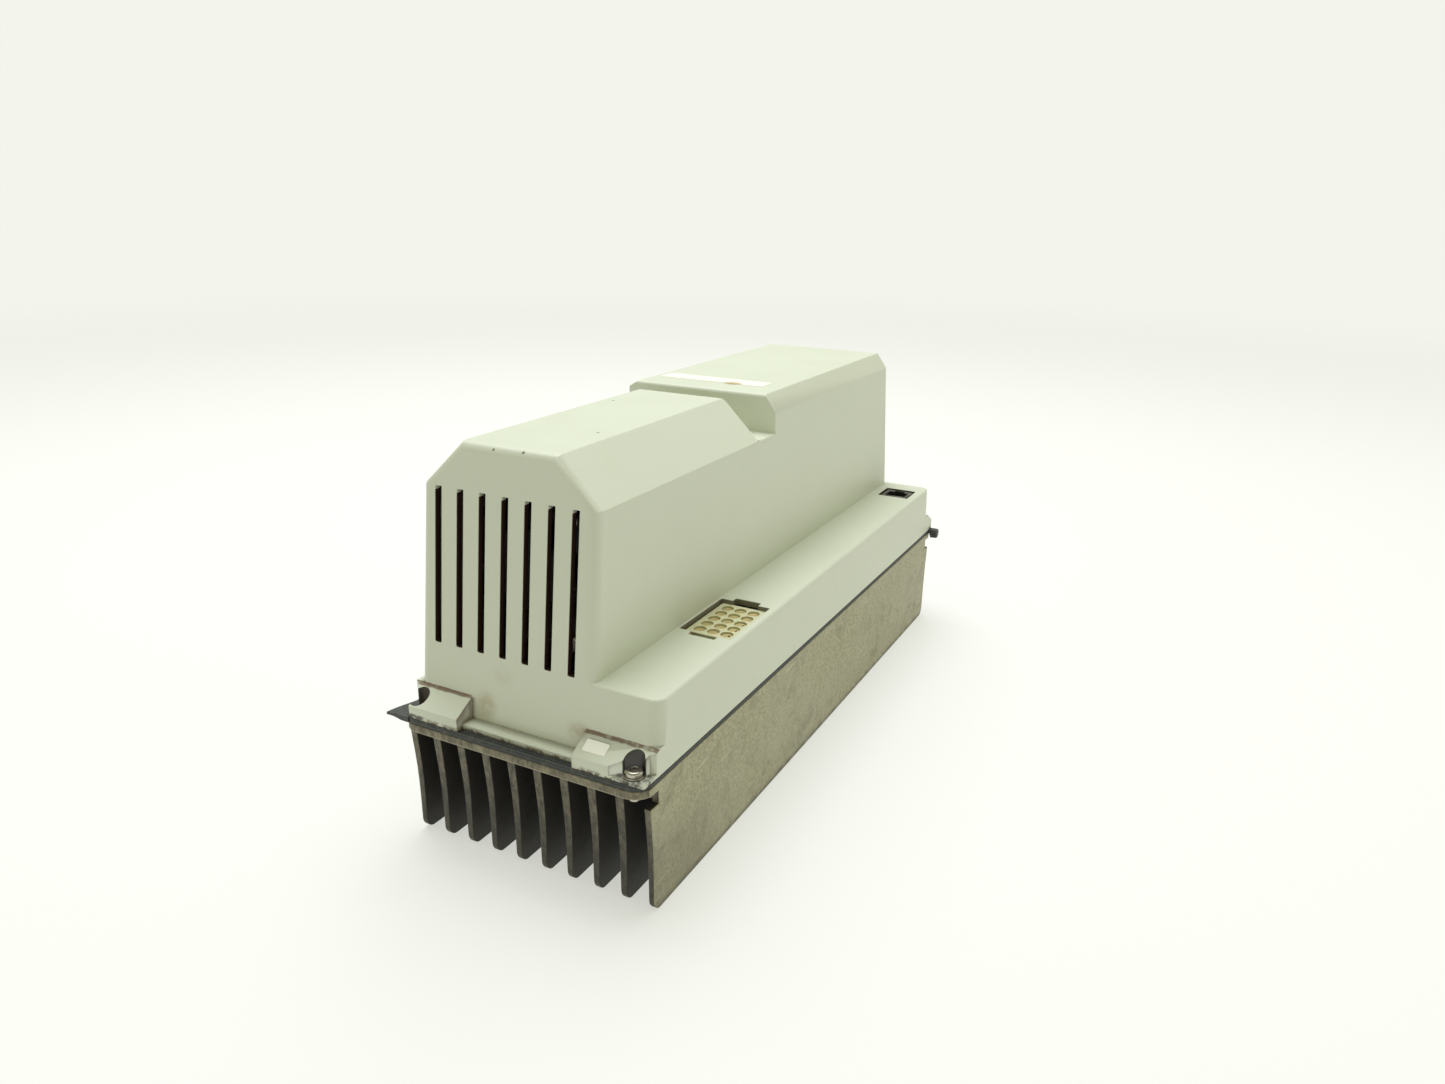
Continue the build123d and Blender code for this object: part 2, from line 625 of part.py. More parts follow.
def socket_window():
    half_x = SOCKET_HALF_X + SOCKET_GAP
    half_y = SOCKET_HALF_Y + abs(WINDOW_SHIFT) / 2 + SOCKET_GAP
    y = SOCKET_Y + WINDOW_SHIFT
    z0 = LEDGE_TOP - 2 * COVER_T
    z1 = LEDGE_TOP + 1
    main = block(SOCKET_X - half_x, SOCKET_X + half_x, y - half_y, y + half_y, z0, z1)
    reach = half_y + LATCH_DEPTH
    return main + block(SOCKET_X - LATCH_WIDTH / 2, SOCKET_X + LATCH_WIDTH / 2,
                        y - reach, y + reach, z0, z1)


def jack_window():
    return Pos(JACK_X, JACK_Y, LEDGE_TOP) * Box(*JACK_WINDOW, 4 * COVER_T)


def vent_slots():
    slots = []
    z0 = LEDGE_TOP + SLOT_RISE
    z1 = z0 + SLOT_HEIGHT
    deepest = end_wall_y(z1) - 2 * COVER_T
    for index in range(SLOT_COUNT):
        x0 = COVER_LEFT + SLOT_START + index * SLOT_PITCH
        slots.append(block(x0, x0 + SLOT_WIDTH, -END, -deepest, z0, z1))
        slots.append(block(x0, x0 + SLOT_WIDTH, deepest, END, z0, z1))
    return slots


def cover():
    body = rounded_cover_mass()
    lip_y = END - COVER_END_INSET - 2 * COVER_T
    for sign in (-1, 1):
        body += foot(-SIDE, -SIDE + FOOT_WIDTH_LEFT, sign)
        body += foot(SIDE - FOOT_WIDTH_RIGHT, SIDE, sign)
        y0, y1 = sorted((sign * lip_y, sign * (END - LIP_INSET)))
        body += block(-SIDE + FOOT_WIDTH_LEFT, SIDE - FOOT_WIDTH_RIGHT, y0, y1, SEAT, SEAT + LIP_H)
    body -= cover_mass(COVER_T)
    for x, y in SCREW_SPOTS + [EMPTY_SPOT]:
        body -= screw_well(x, y)
    body -= broken_ledge_foot()
    body -= broken_plain_foot()
    body -= socket_window()
    body -= jack_window()
    for slot in vent_slots():
        body -= slot
    return body


def cover_screws():
    seat = SEAT + FOOT_WEB_T + SCREW_WASHER_T
    grip = seat - FIN_HEIGHT + SCREW_TAIL
    return [
        button_screw(x, y, seat, SCREW_HEAD_R, SCREW_HEAD_H, SCREW_R, grip) for x, y in SCREW_SPOTS
    ]


def cover_washers():
    z0 = SEAT + FOOT_WEB_T
    z1 = z0 + SCREW_WASHER_T
    return [
        rod(x, y, z0, z1, SCREW_WASHER_R) - rod(x, y, z0, z1, SCREW_R + THREAD_GAP)
        for x, y in SCREW_SPOTS
    ]


def roof_label():
    y = GROOVE_Y + GROOVE_WIDTH + ROOF_LABEL_GAP + ROOF_LABEL[1] / 2
    return stand(HOOD_X + ROOF_LABEL_OFFSET_X, y, ROOF, (*ROOF_LABEL, LABEL_T))


def foot_label():
    """A small sticker on the sloping top of the ledge side's front foot."""
    y0 = -END + FOOT_INSET
    y1 = -end_wall_y(SEAT + FOOT_BACK_H)
    slope = math.degrees(math.atan2(FOOT_BACK_H - FOOT_FRONT_H, y1 - y0))
    middle = Pos(SIDE - FOOT_WIDTH_RIGHT + FOOT_LABEL_INSET, (y0 + y1) / 2,
                 SEAT + (FOOT_FRONT_H + FOOT_BACK_H) / 2)
    return middle * Rot(slope, 0, 0) * Pos(0, 0, LABEL_T / 2) * Box(*FOOT_LABEL, LABEL_T)


# ---------------------------------------------------------------- sockets in the ledge

def socket_spots():
    return [
        (SOCKET_X + (i - (SOCKET_COLUMNS - 1) / 2) * SOCKET_PITCH,
         SOCKET_Y + (j - (SOCKET_ROWS - 1) / 2) * SOCKET_PITCH)
        for i in range(SOCKET_COLUMNS) for j in range(SOCKET_ROWS)
    ]


def power_socket():
    body = block(SOCKET_X - SOCKET_HALF_X, SOCKET_X + SOCKET_HALF_X,
                 SOCKET_Y - SOCKET_HALF_Y, SOCKET_Y + SOCKET_HALF_Y, BOARD_TOP, SOCKET_FACE)
    ear = SOCKET_HALF_Y + LATCH_DEPTH / 2
    body += block(SOCKET_X - LATCH_WIDTH / 4, SOCKET_X + LATCH_WIDTH / 4,
                  SOCKET_Y - ear, SOCKET_Y + ear, BOARD_TOP, SOCKET_FACE - COVER_T)
    for x, y in socket_spots():
        body -= rod(x, y, SOCKET_FACE - CAVITY_DEPTH, SOCKET_FACE, CAVITY_R)
        body -= rod(x, y, BOARD_TOP, SOCKET_FACE - CAVITY_DEPTH, PIN_R + HOLE_GAP)
    return body


def power_contacts():
    """Turned sockets in the cavities, with a tail through the board."""
    floor = SOCKET_FACE - CAVITY_DEPTH
    mouth = SOCKET_FACE - CONTACT_DROP
    contacts = []
    for x, y in socket_spots():
        barrel = rod(x, y, floor, mouth, CONTACT_R)
        barrel -= rod(x, y, floor + 1, mouth, CONTACT_BORE_R)
        contacts.append(barrel + rod(x, y, BOARD_BOTTOM - CONTACT_TAIL, floor, PIN_R))
    return contacts


def service_jack():
    size_x = JACK_WINDOW[0] - 2 * JACK_GAP
    size_y = JACK_WINDOW[1] - 2 * JACK_GAP
    top = LEDGE_TOP - JACK_RECESS
    body = block(JACK_X - size_x / 2, JACK_X + size_x / 2, JACK_Y - size_y / 2, JACK_Y + size_y / 2,
                 BOARD_TOP, top)
    floor = top - JACK_PORT_DEPTH
    port = block(JACK_X - JACK_PORT[0] / 2, JACK_X + JACK_PORT[0] / 2,
                 JACK_Y - JACK_PORT[1] / 2, JACK_Y + JACK_PORT[1] / 2, floor, top)
    latch = block(JACK_X - JACK_LATCH[0] / 2, JACK_X + JACK_LATCH[0] / 2,
                  JACK_Y + JACK_PORT[1] / 2, JACK_Y + JACK_PORT[1] / 2 + JACK_LATCH[1], floor, top)
    return body - port - latch


def service_contacts():
    """Spring fingers down the port's front wall."""
    top = LEDGE_TOP - JACK_RECESS
    floor = top - JACK_PORT_DEPTH
    y0 = JACK_Y - JACK_PORT[1] / 2
    fingers = []
    for index in range(JACK_CONTACT_COUNT):
        x = JACK_X + (index - (JACK_CONTACT_COUNT - 1) / 2) * JACK_CONTACT_PITCH
        fingers.append(block(x - JACK_CONTACT_T / 2, x + JACK_CONTACT_T / 2,
                             y0, y0 + JACK_CONTACT_T, floor, top - 3 * JACK_CONTACT_T))
    return fingers


# ---------------------------------------------------------------- power modules

def module_corners(y, size):
    """Screw places in the ears at both ends of a module."""
    return [
        (MODULE_X + sx * (size[0] / 2 - MODULE_EAR / 2), y + sy * (size[1] / 2 - MODULE_EAR / 2))
        for sx in (-1, 1) for sy in (-1, 1)
    ]


def module_screw_spots():
    return module_corners(INVERTER_Y, INVERTER_SIZE) + module_corners(RECTIFIER_Y, RECTIFIER_SIZE)


def module_pad(y, size):
    z0 = FLANGE_TOP
    pad = stand(MODULE_X, y, z0, (*size, PAD_T))
    for sx, sy in module_corners(y, size):
        pad -= rod(sx, sy, z0, z0 + PAD_T, MODULE_SCREW_R + HOLE_GAP)
    return pad


def module_plate(y, size):
    z0 = FLANGE_TOP + PAD_T
    plate = stand(MODULE_X, y, z0, (*size, MODULE_PLATE_T))
    for sx, sy in module_corners(y, size):
        plate -= rod(sx, sy, z0, z0 + MODULE_PLATE_T, MODULE_SCREW_R + HOLE_GAP)
    return plate


def module_case(y, size):
    z0 = FLANGE_TOP + PAD_T + MODULE_PLATE_T
    case = (size[0] - 2 * MODULE_SIDE_STEP, size[1] - 2 * MODULE_EAR, BOARD_BOTTOM - z0)
    return stand(MODULE_X, y, z0, case)


def module_pin_spots(y, size):
    """Two rows of pins along the module's long edges."""
    count = int((size[1] - 3 * MODULE_EAR) / PIN_PITCH)
    offset_x = size[0] / 2 - MODULE_EAR / 2
    return [
        (MODULE_X + side * offset_x, y + (k - (count - 1) / 2) * PIN_PITCH)
        for side in (-1, 1) for k in range(count)
    ]


def module_pins(y, size):
    return [rod(px, py, BOARD_BOTTOM, BOARD_TOP, PIN_R) for px, py in module_pin_spots(y, size)]


def module_screws(y, size):
    seat = FLANGE_TOP + PAD_T + MODULE_PLATE_T
    grip = seat - FLANGE_TOP + MODULE_SCREW_GRIP - 1
    return [
        button_screw(sx, sy, seat, MODULE_SCREW_HEAD_R, MODULE_SCREW_HEAD_H, MODULE_SCREW_R, grip)
        for sx, sy in module_corners(y, size)
    ]


# ---------------------------------------------------------------- power board

def power_board():
    board = block(BOARD_LEFT, BOARD_RIGHT, BOARD_Y0, BOARD_Y1, BOARD_BOTTOM, BOARD_TOP)
    holes = [(x, y, M3_R + HOLE_GAP) for x, y in POST_SPOTS + CONTROL_SPOTS]
    holes += [(x, y, PIN_R + HOLE_GAP) for x, y in socket_spots()]
    holes += [(x, y, PIN_R + HOLE_GAP) for x, y in module_pin_spots(INVERTER_Y, INVERTER_SIZE)]
    holes += [(x, y, PIN_R + HOLE_GAP) for x, y in module_pin_spots(RECTIFIER_Y, RECTIFIER_SIZE)]
    cutters = [rod(x, y, BOARD_BOTTOM, BOARD_TOP, radius) for x, y, radius in holes]
    return board - cutters


def board_posts():
    """Hexagon posts with a stud in the heatsink and a tapped hole on top."""
    posts = []
    for x, y in POST_SPOTS:
        post = hexagon(x, y, FLANGE_TOP, BOARD_BOTTOM, POST_AF)
        post -= rod(x, y, BOARD_BOTTOM - POST_SCREW, BOARD_BOTTOM, M3_R + THREAD_GAP)
        posts.append(post + rod(x, y, FLANGE_TOP - POST_STUD + 1, FLANGE_TOP, M3_R))
    return posts


def board_screws():
    grip = BOARD_T + POST_SCREW - 1
    return [
        button_screw(x, y, BOARD_TOP, M3_HEAD_R, M3_HEAD_H, M3_R, grip) for x, y in POST_SPOTS
    ]


def cap_spots():
    return [
        (CAP_X + (column - (CAP_COLUMNS - 1) / 2) * CAP_PITCH, CAP_FIRST_Y + row * CAP_PITCH)
        for column in range(CAP_COLUMNS) for row in range(CAP_ROWS)
    ]


def link_capacitors():
    """Aluminium cans with a rolled groove near the foot."""
    cans = []
    for x, y in cap_spots():
        can = fillet(rod(x, y, BOARD_TOP, BOARD_TOP + CAP_H, CAP_R).edges().group_by(Axis.Z)[-1], 1.5)
        groove = Pos(x, y, BOARD_TOP + 6) * Torus(CAP_R + 0.4, 1.2)
        cans.append(can - groove)
    return cans


def film_capacitors():
    """Two boxed film capacitors side by side."""
    pitch = FILM_CAP[0] + FILM_CAP_GAP
    return [stand(FILM_CAP_X + k * pitch, FILM_CAP_Y, BOARD_TOP, FILM_CAP) for k in range(2)]


def choke_base():
    radius = CHOKE_CORE[0] + 3 * CHOKE_WIRE_R
    return rod(CHOKE_X, CHOKE_Y, BOARD_TOP, BOARD_TOP + CHOKE_BASE_T, radius)


def choke_core():
    outer, inner, height = CHOKE_CORE
    z0 = BOARD_TOP + CHOKE_BASE_T + 2 * CHOKE_WIRE_R
    return rod(CHOKE_X, CHOKE_Y, z0, z0 + height, outer) - rod(CHOKE_X, CHOKE_Y, z0, z0 + height, inner)


def choke_turns():
    """Square turns of thick wire, each a closed loop round the core."""
    outer, inner, height = CHOKE_CORE
    wire = 2 * CHOKE_WIRE_R
    z0 = BOARD_TOP + CHOKE_BASE_T
    turns = []
    for index in range(CHOKE_TURNS):
        angle = 360 * index / CHOKE_TURNS
        hoop = block(inner - wire, outer + wire, -CHOKE_WIRE_R, CHOKE_WIRE_R, z0, z0 + height + 2 * wire)
        hoop -= block(inner, outer, -CHOKE_WIRE_R, CHOKE_WIRE_R, z0 + wire, z0 + wire + height)
        swung = Pos(CHOKE_X, CHOKE_Y, 0) * Rot(0, 0, angle) * hoop
        ring = choke_core_clearance()
        turns.append(swung - ring)
    return turns


def choke_core_clearance():
    """The core with a hair of room round it, so that the flat turns don't bite into it."""
    outer, inner, height = CHOKE_CORE
    z0 = BOARD_TOP + CHOKE_BASE_T + 2 * CHOKE_WIRE_R
    gap = THREAD_GAP
    solid = rod(CHOKE_X, CHOKE_Y, z0, z0 + height, outer + gap)
    return solid - rod(CHOKE_X, CHOKE_Y, z0, z0 + height, inner - gap)


def current_sensors():
    """A row behind the relay."""
    x = RELAY_X + (RELAY[0] - SENSOR[0]) / 2
    pitch = SENSOR[1] + SENSOR_GAP
    first = RELAY_Y + RELAY[1] / 2 + SENSOR_GAP + SENSOR[1] / 2
    return [stand(x, first + k * pitch, BOARD_TOP, SENSOR) for k in range(SENSOR_COUNT)]


def precharge_relay():
    return stand(RELAY_X, RELAY_Y, BOARD_TOP, RELAY)


def transformer_core():
    """An E core pair seen as two yokes and outer legs round the bobbin."""
    x, y, z = TRANSFORMER
    outer = stand(TRANSFORMER_X, TRANSFORMER_Y, BOARD_TOP, TRANSFORMER)
    inner = stand(TRANSFORMER_X, TRANSFORMER_Y, BOARD_TOP + z / 5, (x * 0.6, y, z * 0.6))
    return outer - inner


def transformer_bobbin():
    x, y, z = TRANSFORMER
    gap = 2 * THREAD_GAP
    size = (x * 0.6 - gap, y * 1.1, z * 0.6 - gap)
    return stand(TRANSFORMER_X, TRANSFORMER_Y, BOARD_TOP + z / 5 + gap / 2, size)


# ---------------------------------------------------------------- control board

def control_board():
    x0 = CONTROL_X - CONTROL_SIZE[0] / 2
    y0 = CONTROL_Y - CONTROL_SIZE[1] / 2
    board = block(x0, x0 + CONTROL_SIZE[0], y0, y0 + CONTROL_SIZE[1], CONTROL_BOTTOM, CONTROL_TOP)
    for x, y in CONTROL_SPOTS:
        board -= rod(x, y, CONTROL_BOTTOM, CONTROL_TOP, M3_R + HOLE_GAP)
    return board


def control_posts():
    """Tall posts, with a stud through the power board and a tapped hole on top."""
    posts = []
    for x, y in CONTROL_SPOTS:
        post = hexagon(x, y, BOARD_TOP, CONTROL_BOTTOM, POST_AF)
        post -= rod(x, y, CONTROL_BOTTOM - POST_SCREW, CONTROL_BOTTOM, M3_R + THREAD_GAP)
        posts.append(post + rod(x, y, BOARD_BOTTOM, BOARD_TOP, M3_R))
    return posts


def control_screws():
    grip = CONTROL_T + POST_SCREW - 1
    return [
        button_screw(x, y, CONTROL_TOP, M3_HEAD_R, M3_HEAD_H, M3_R, grip) for x, y in CONTROL_SPOTS
    ]


def control_chips():
    """The processor, and a row of smaller packages in front of it."""
    chips = [stand(CONTROL_X - 6, CONTROL_Y + 16, CONTROL_TOP, CHIP_MAIN)]
    for k in range(4):
        chips.append(stand(CONTROL_X - 20 + 13 * k, CONTROL_Y - 24, CONTROL_TOP, CHIP_SMALL))
    return chips


def lower_header():
    return stand(HEADER_X, HEADER_Y, BOARD_TOP, (HEADER_W, RIBBON_WIDTH + 6, HEADER_H))


def upper_header():
    right = CONTROL_X + CONTROL_SIZE[0] / 2
    return stand(right - HEADER_W / 2, HEADER_Y, CONTROL_TOP, (HEADER_W, RIBBON_WIDTH + 6, HEADER_H))


def ribbon_cable():
    """A flat cable up from the lower header and over into the upper one's side."""
    x_out = HEADER_X
    z_up = BOARD_TOP + HEADER_H
    z_in = CONTROL_TOP + HEADER_H / 2
    x_in = CONTROL_X + CONTROL_SIZE[0] / 2
    route = FilletPolyline((x_out, z_up), (x_out, z_in), (x_in, z_in), radius=RIBBON_BEND_R)
    strip = trace(route, line_width=RIBBON_T)
    y1 = HEADER_Y + RIBBON_WIDTH / 2
    flat = extrude(Plane.XZ.offset(-y1) * strip, amount=RIBBON_WIDTH)
    return flat & block(x_in, x_out + RIBBON_T, y1 - RIBBON_WIDTH, y1, z_up, z_in + RIBBON_T)


# ---------------------------------------------------------------- temperature sensor

def thermistor_spot():
    return (THERMISTOR_X, THERMISTOR_Y)


def thermistor():
    x, y = thermistor_spot()
    body = stand(x, y, FLANGE_TOP, THERMISTOR)
    return body - rod(x, y, FLANGE_TOP, FLANGE_TOP + THERMISTOR[2], M3_R + HOLE_GAP)


def thermistor_screw():
    x, y = thermistor_spot()
    return button_screw(x, y, FLANGE_TOP + THERMISTOR[2], M3_HEAD_R, M3_HEAD_H, M3_R,
                        THERMISTOR[2] + POST_STUD - 1)


# ---------------------------------------------------------------- fan

def fan_corners():
    half = FAN_HOLE_SPACING / 2
    return [(sx * half, sz * half) for sx in (-1, 1) for sz in (-1, 1)]


def hub_rear():
    return FAN_Y0 + HUB_FRONT_GAP + HUB_LENGTH


def fan_frame():
    """Square flanges joined by a round duct, and struts that carry the bearing tube."""
    half = FAN_SIZE / 2
    x0 = FAN_X - half
    z0 = FAN_Z - half
    front = block(x0, x0 + FAN_SIZE, FAN_Y0, FAN_Y0 + FAN_FLANGE_T, z0, z0 + FAN_SIZE)
    rear = block(x0, x0 + FAN_SIZE, FAN_Y1 - FAN_FLANGE_T, FAN_Y1, z0, z0 + FAN_SIZE)
    plates = fillet((front + rear).edges().filter_by(Axis.Y), 4.0)
    duct = plates + fan_rod(FAN_Y0, FAN_Y1, half - 0.4) - fan_rod(FAN_Y0, FAN_Y1, FAN_BORE_R)
    strut_y0 = FAN_Y1 - FAN_STRUT_T
    motor_plate = fan_rod(strut_y0, FAN_Y1, HUB_R)
    struts = [
        Pos(FAN_X, (strut_y0 + FAN_Y1) / 2, FAN_Z) * Rot(0, 45 + 360 * k / FAN_STRUTS, 0)
        * Pos(half / 2, 0, 0) * Box(half, FAN_STRUT_T, FAN_STRUT_W)
        for k in range(FAN_STRUTS)
    ]
    tube = fan_rod(FAN_Y0 + HUB_FRONT_GAP + 2 * HUB_T, FAN_Y1, BEARING_TUBE_R)
    body = duct + motor_plate + struts + tube
    body -= fan_rod(FAN_Y0, FAN_Y1 - HUB_T, BEARING_R)
    for x, z in fan_corners():
        body -= fan_rod(FAN_Y0, FAN_Y1, FAN_SCREW_R + HOLE_GAP, x, z)
    return body


def fan_bearings():
    """Two ball bearings, one at each end of the bearing tube."""
    front = FAN_Y0 + HUB_FRONT_GAP + 2 * HUB_T
    rear = FAN_Y1 - HUB_T - BEARING_T
    return [
        fan_rod(y, y + BEARING_T, BEARING_R) - fan_rod(y, y + BEARING_T, SHAFT_R + SHAFT_CLEARANCE)
        for y in (front, rear)
    ]


def fan_shaft():
    return fan_rod(FAN_Y0 + HUB_FRONT_GAP + HUB_T, FAN_Y1 - 1.5 * HUB_T, SHAFT_R)


def fan_impeller():
    """A cup-shaped hub with tilted blades, cut to the duct's bore."""
    y0 = FAN_Y0 + HUB_FRONT_GAP
    y1 = hub_rear()
    cup = fillet(fan_rod(y0, y1, HUB_R).edges().group_by(Axis.Y)[0], HUB_T)
    blade_y0 = FAN_Y0 + BLADE_FRONT_GAP
    blade_y1 = FAN_Y1 - BLADE_REAR_GAP
    tip = FAN_BORE_R - FAN_TIP_GAP
    sweep_room = fan_rod(blade_y0, blade_y1, tip)
    reach = tip - HUB_R + 2 * HUB_T
    blades = []
    for index in range(BLADE_COUNT):
        blade = Box(reach, BLADE_CHORD, BLADE_T)
        lean = Rot(0, 360 * index / BLADE_COUNT, 0) * Pos(tip - reach / 2, 0, 0) * Rot(BLADE_TWIST, 0, 0)
        blades.append(Pos(FAN_X, (blade_y0 + blade_y1) / 2, FAN_Z) * lean * blade)
    wheel = cup + [blade & sweep_room for blade in blades]
    return wheel - fan_rod(y0 + HUB_T, y1, HUB_R - HUB_T)


def fan_magnet():
    """The rotor's magnet ring, inside the hub."""
    y0 = FAN_Y0 + HUB_FRONT_GAP + 2 * HUB_T
    outer = HUB_R - HUB_T
    return fan_rod(y0, hub_rear() - 1, outer) - fan_rod(y0, hub_rear() - 1, outer - MAGNET_T)


def fan_stator():
    """A four-pole core on the bearing tube."""
    middle = (FAN_Y0 + HUB_FRONT_GAP + hub_rear()) / 2
    y0 = middle - STATOR_T / 2
    y1 = middle + STATOR_T / 2
    body = fan_rod(y0, y1, BEARING_TUBE_R + 2)
    for k in range(STATOR_POLES):
        arm = Box(STATOR_R, STATOR_T, STATOR_POLE_W)
        body += Pos(FAN_X, middle, FAN_Z) * Rot(0, 360 * k / STATOR_POLES, 0) * Pos(STATOR_R / 2, 0, 0) * arm
    body += fan_rod(y0, y1, STATOR_R) - fan_rod(y0, y1, STATOR_R - 1.2)
    return body - fan_rod(y0, y1, BEARING_TUBE_R)


def fan_coils():
    """A copper coil round each pole."""
    middle = (FAN_Y0 + HUB_FRONT_GAP + hub_rear()) / 2
    coils = []
    width = STATOR_POLE_W + 2 * COIL_T
    length = STATOR_T + 2 * COIL_T
    r0 = BEARING_TUBE_R + 2.6
    r1 = STATOR_R - 2.4
    for k in range(STATOR_POLES):
        coil = Box(r1 - r0, length, width) - Box(r1 - r0, STATOR_T, STATOR_POLE_W)
        place = Pos(FAN_X, middle, FAN_Z) * Rot(0, 360 * k / STATOR_POLES, 0) * Pos((r0 + r1) / 2, 0, 0)
        coils.append(place * coil)
    return coils


def fan_screws():
    """Long screws from the front through the fan and its bracket."""
    length = FAN_DEPTH + FAN_BRACKET_T + FAN_NUT_T + 1
    screws = []
    for x, z in fan_corners():
        head = fan_rod(FAN_Y0 - FAN_SCREW_HEAD_H, FAN_Y0, FAN_SCREW_HEAD_R, x, z)
        head = fillet(head.edges().group_by(Axis.Y)[0], 0.8)
        screws.append(head + fan_rod(FAN_Y0, FAN_Y0 + length, FAN_SCREW_R, x, z))
    return screws


def fan_nuts():
    y0 = FAN_Y1 + FAN_BRACKET_T
    nuts = []
    for x, z in fan_corners():
        outline = RegularPolygon(3.5, 6, major_radius=False)
        nut = Pos(FAN_X + x, y0 + FAN_NUT_T, FAN_Z + z) * Rot(90, 0, 0) * extrude(outline, amount=FAN_NUT_T)
        nuts.append(nut - fan_rod(y0, y0 + FAN_NUT_T, FAN_SCREW_R + THREAD_GAP, x, z))
    return nuts


def bracket_spots():
    y = FAN_Y1 + FAN_BRACKET_T + FAN_BRACKET_FOOT / 2
    return [(FAN_X + side * FAN_HOLE_SPACING / 2, y) for side in (-1, 1)]


def fan_bracket():
    """Bent sheet: a plate behind the fan, and a foot screwed to the heatsink."""
    half = FAN_SIZE / 2 + FAN_BRACKET_MARGIN
    y0 = FAN_Y1
    y1 = y0 + FAN_BRACKET_T
    plate = block(FAN_X - half, FAN_X + half, y0, y1, FLANGE_TOP, FAN_Z + half)
    plate -= fan_rod(y0, y1, FAN_BORE_R)
    for x, z in fan_corners():
        plate -= fan_rod(y0, y1, FAN_SCREW_R + HOLE_GAP, x, z)
    sheet = plate + block(FAN_X - half, FAN_X + half, y0, y1 + FAN_BRACKET_FOOT,
                          FLANGE_TOP, FLANGE_TOP + FAN_BRACKET_T)
    for x, y in bracket_spots():
        sheet -= rod(x, y, FLANGE_TOP, FLANGE_TOP + FAN_BRACKET_T, M3_R + HOLE_GAP)
    return sheet


def bracket_screws():
    seat = FLANGE_TOP + FAN_BRACKET_T
    grip = FAN_BRACKET_T + POST_STUD - 1
    return [button_screw(x, y, seat, M3_HEAD_R, M3_HEAD_H, M3_R, grip) for x, y in bracket_spots()]


def fan_plug_place():
    return FAN_X + FAN_SIZE / 2 + 2 * FAN_LEAD_BEND_R - 1, BOARD_Y0 + FAN_PLUG[1]


def fan_plug():
    x, y = fan_plug_place()
    return stand(x, y, BOARD_TOP, FAN_PLUG)


def fan_lead():
    """From the fan's side, down and back to its plug on the power board."""
    x, y = fan_plug_place()
    side = FAN_X + FAN_SIZE / 2
    y0 = FAN_Y0 + FAN_FLANGE_T / 2
    z_fan = FAN_Z - FAN_SIZE / 4
    z_plug = BOARD_TOP + FAN_PLUG[2]
    z_run = z_plug + 2.2 * FAN_LEAD_BEND_R
    route = FilletPolyline(
        (side, y0, z_fan), (x, y0, z_fan), (x, y0, z_run), (x, y, z_run), (x, y, z_plug),
        radius=FAN_LEAD_BEND_R,
    )
    start = Plane(origin=route @ 0, z_dir=route % 0)
    return sweep(start * Circle(FAN_LEAD_R), path=route)


# ---------------------------------------------------------------- write the nodes

MODULES = {"inverter": (INVERTER_Y, INVERTER_SIZE), "rectifier": (RECTIFIER_Y, RECTIFIER_SIZE)}

save("heatsink", [heatsink()])
save("gasket", [gasket()])
save("cover", [cover()])
save("cover_screws", cover_screws())
save("cover_washers", cover_washers())
save("roof_label", [roof_label()])
save("foot_label", [foot_label()])
save("power_socket", [power_socket()])
save("power_contacts", power_contacts())
save("service_jack", [service_jack()])
save("service_contacts", service_contacts())
save("thermal_pads", [module_pad(*values) for values in MODULES.values()])
for name, values in MODULES.items():
    save(f"{name}_plate", [module_plate(*values)])
    save(f"{name}_case", [module_case(*values)])
    save(f"{name}_pins", module_pins(*values))
    save(f"{name}_screws", module_screws(*values))
save("power_board", [power_board()])
save("board_posts", board_posts())
save("board_screws", board_screws())
save("link_capacitors", link_capacitors())
save("film_capacitors", film_capacitors())
save("choke_base", [choke_base()])
save("choke_core", [choke_core()])
save("choke_turns", choke_turns())
save("current_sensors", current_sensors())
save("precharge_relay", [precharge_relay()])
save("transformer_core", [transformer_core()])
save("transformer_bobbin", [transformer_bobbin()])
save("control_board", [control_board()])
save("control_posts", control_posts())
save("control_screws", control_screws())
save("control_chips", control_chips())
save("lower_header", [lower_header()])
save("upper_header", [upper_header()])
save("ribbon_cable", [ribbon_cable()])
save("thermistor", [thermistor()])
save("thermistor_screw", [thermistor_screw()])
save("fan_frame", [fan_frame()])
save("fan_bearings", fan_bearings())
save("fan_shaft", [fan_shaft()])
save("fan_impeller", [fan_impeller()])
save("fan_magnet", [fan_magnet()])
save("fan_stator", [fan_stator()])
save("fan_coils", fan_coils())
save("fan_screws", fan_screws())
save("fan_nuts", fan_nuts())
save("fan_bracket", [fan_bracket()])
save("bracket_screws", bracket_screws())
save("fan_plug", [fan_plug()])
save("fan_lead", [fan_lead()])
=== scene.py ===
import math

import bmesh
import bpy
from mathutils import Matrix, Vector, noise


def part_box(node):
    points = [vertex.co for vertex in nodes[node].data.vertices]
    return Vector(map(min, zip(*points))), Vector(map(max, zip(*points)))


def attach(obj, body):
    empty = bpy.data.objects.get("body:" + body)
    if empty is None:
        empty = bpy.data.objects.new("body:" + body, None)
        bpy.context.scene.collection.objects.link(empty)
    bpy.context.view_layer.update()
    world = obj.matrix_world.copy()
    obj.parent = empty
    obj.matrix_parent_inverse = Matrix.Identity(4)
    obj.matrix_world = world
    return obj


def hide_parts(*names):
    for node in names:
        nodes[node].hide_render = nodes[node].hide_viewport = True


# Looks for the variable frequency drive. Lengths are metres in the CAD's own frame:
# +Z up, -Y the vented front, +X the side with the low ledge.

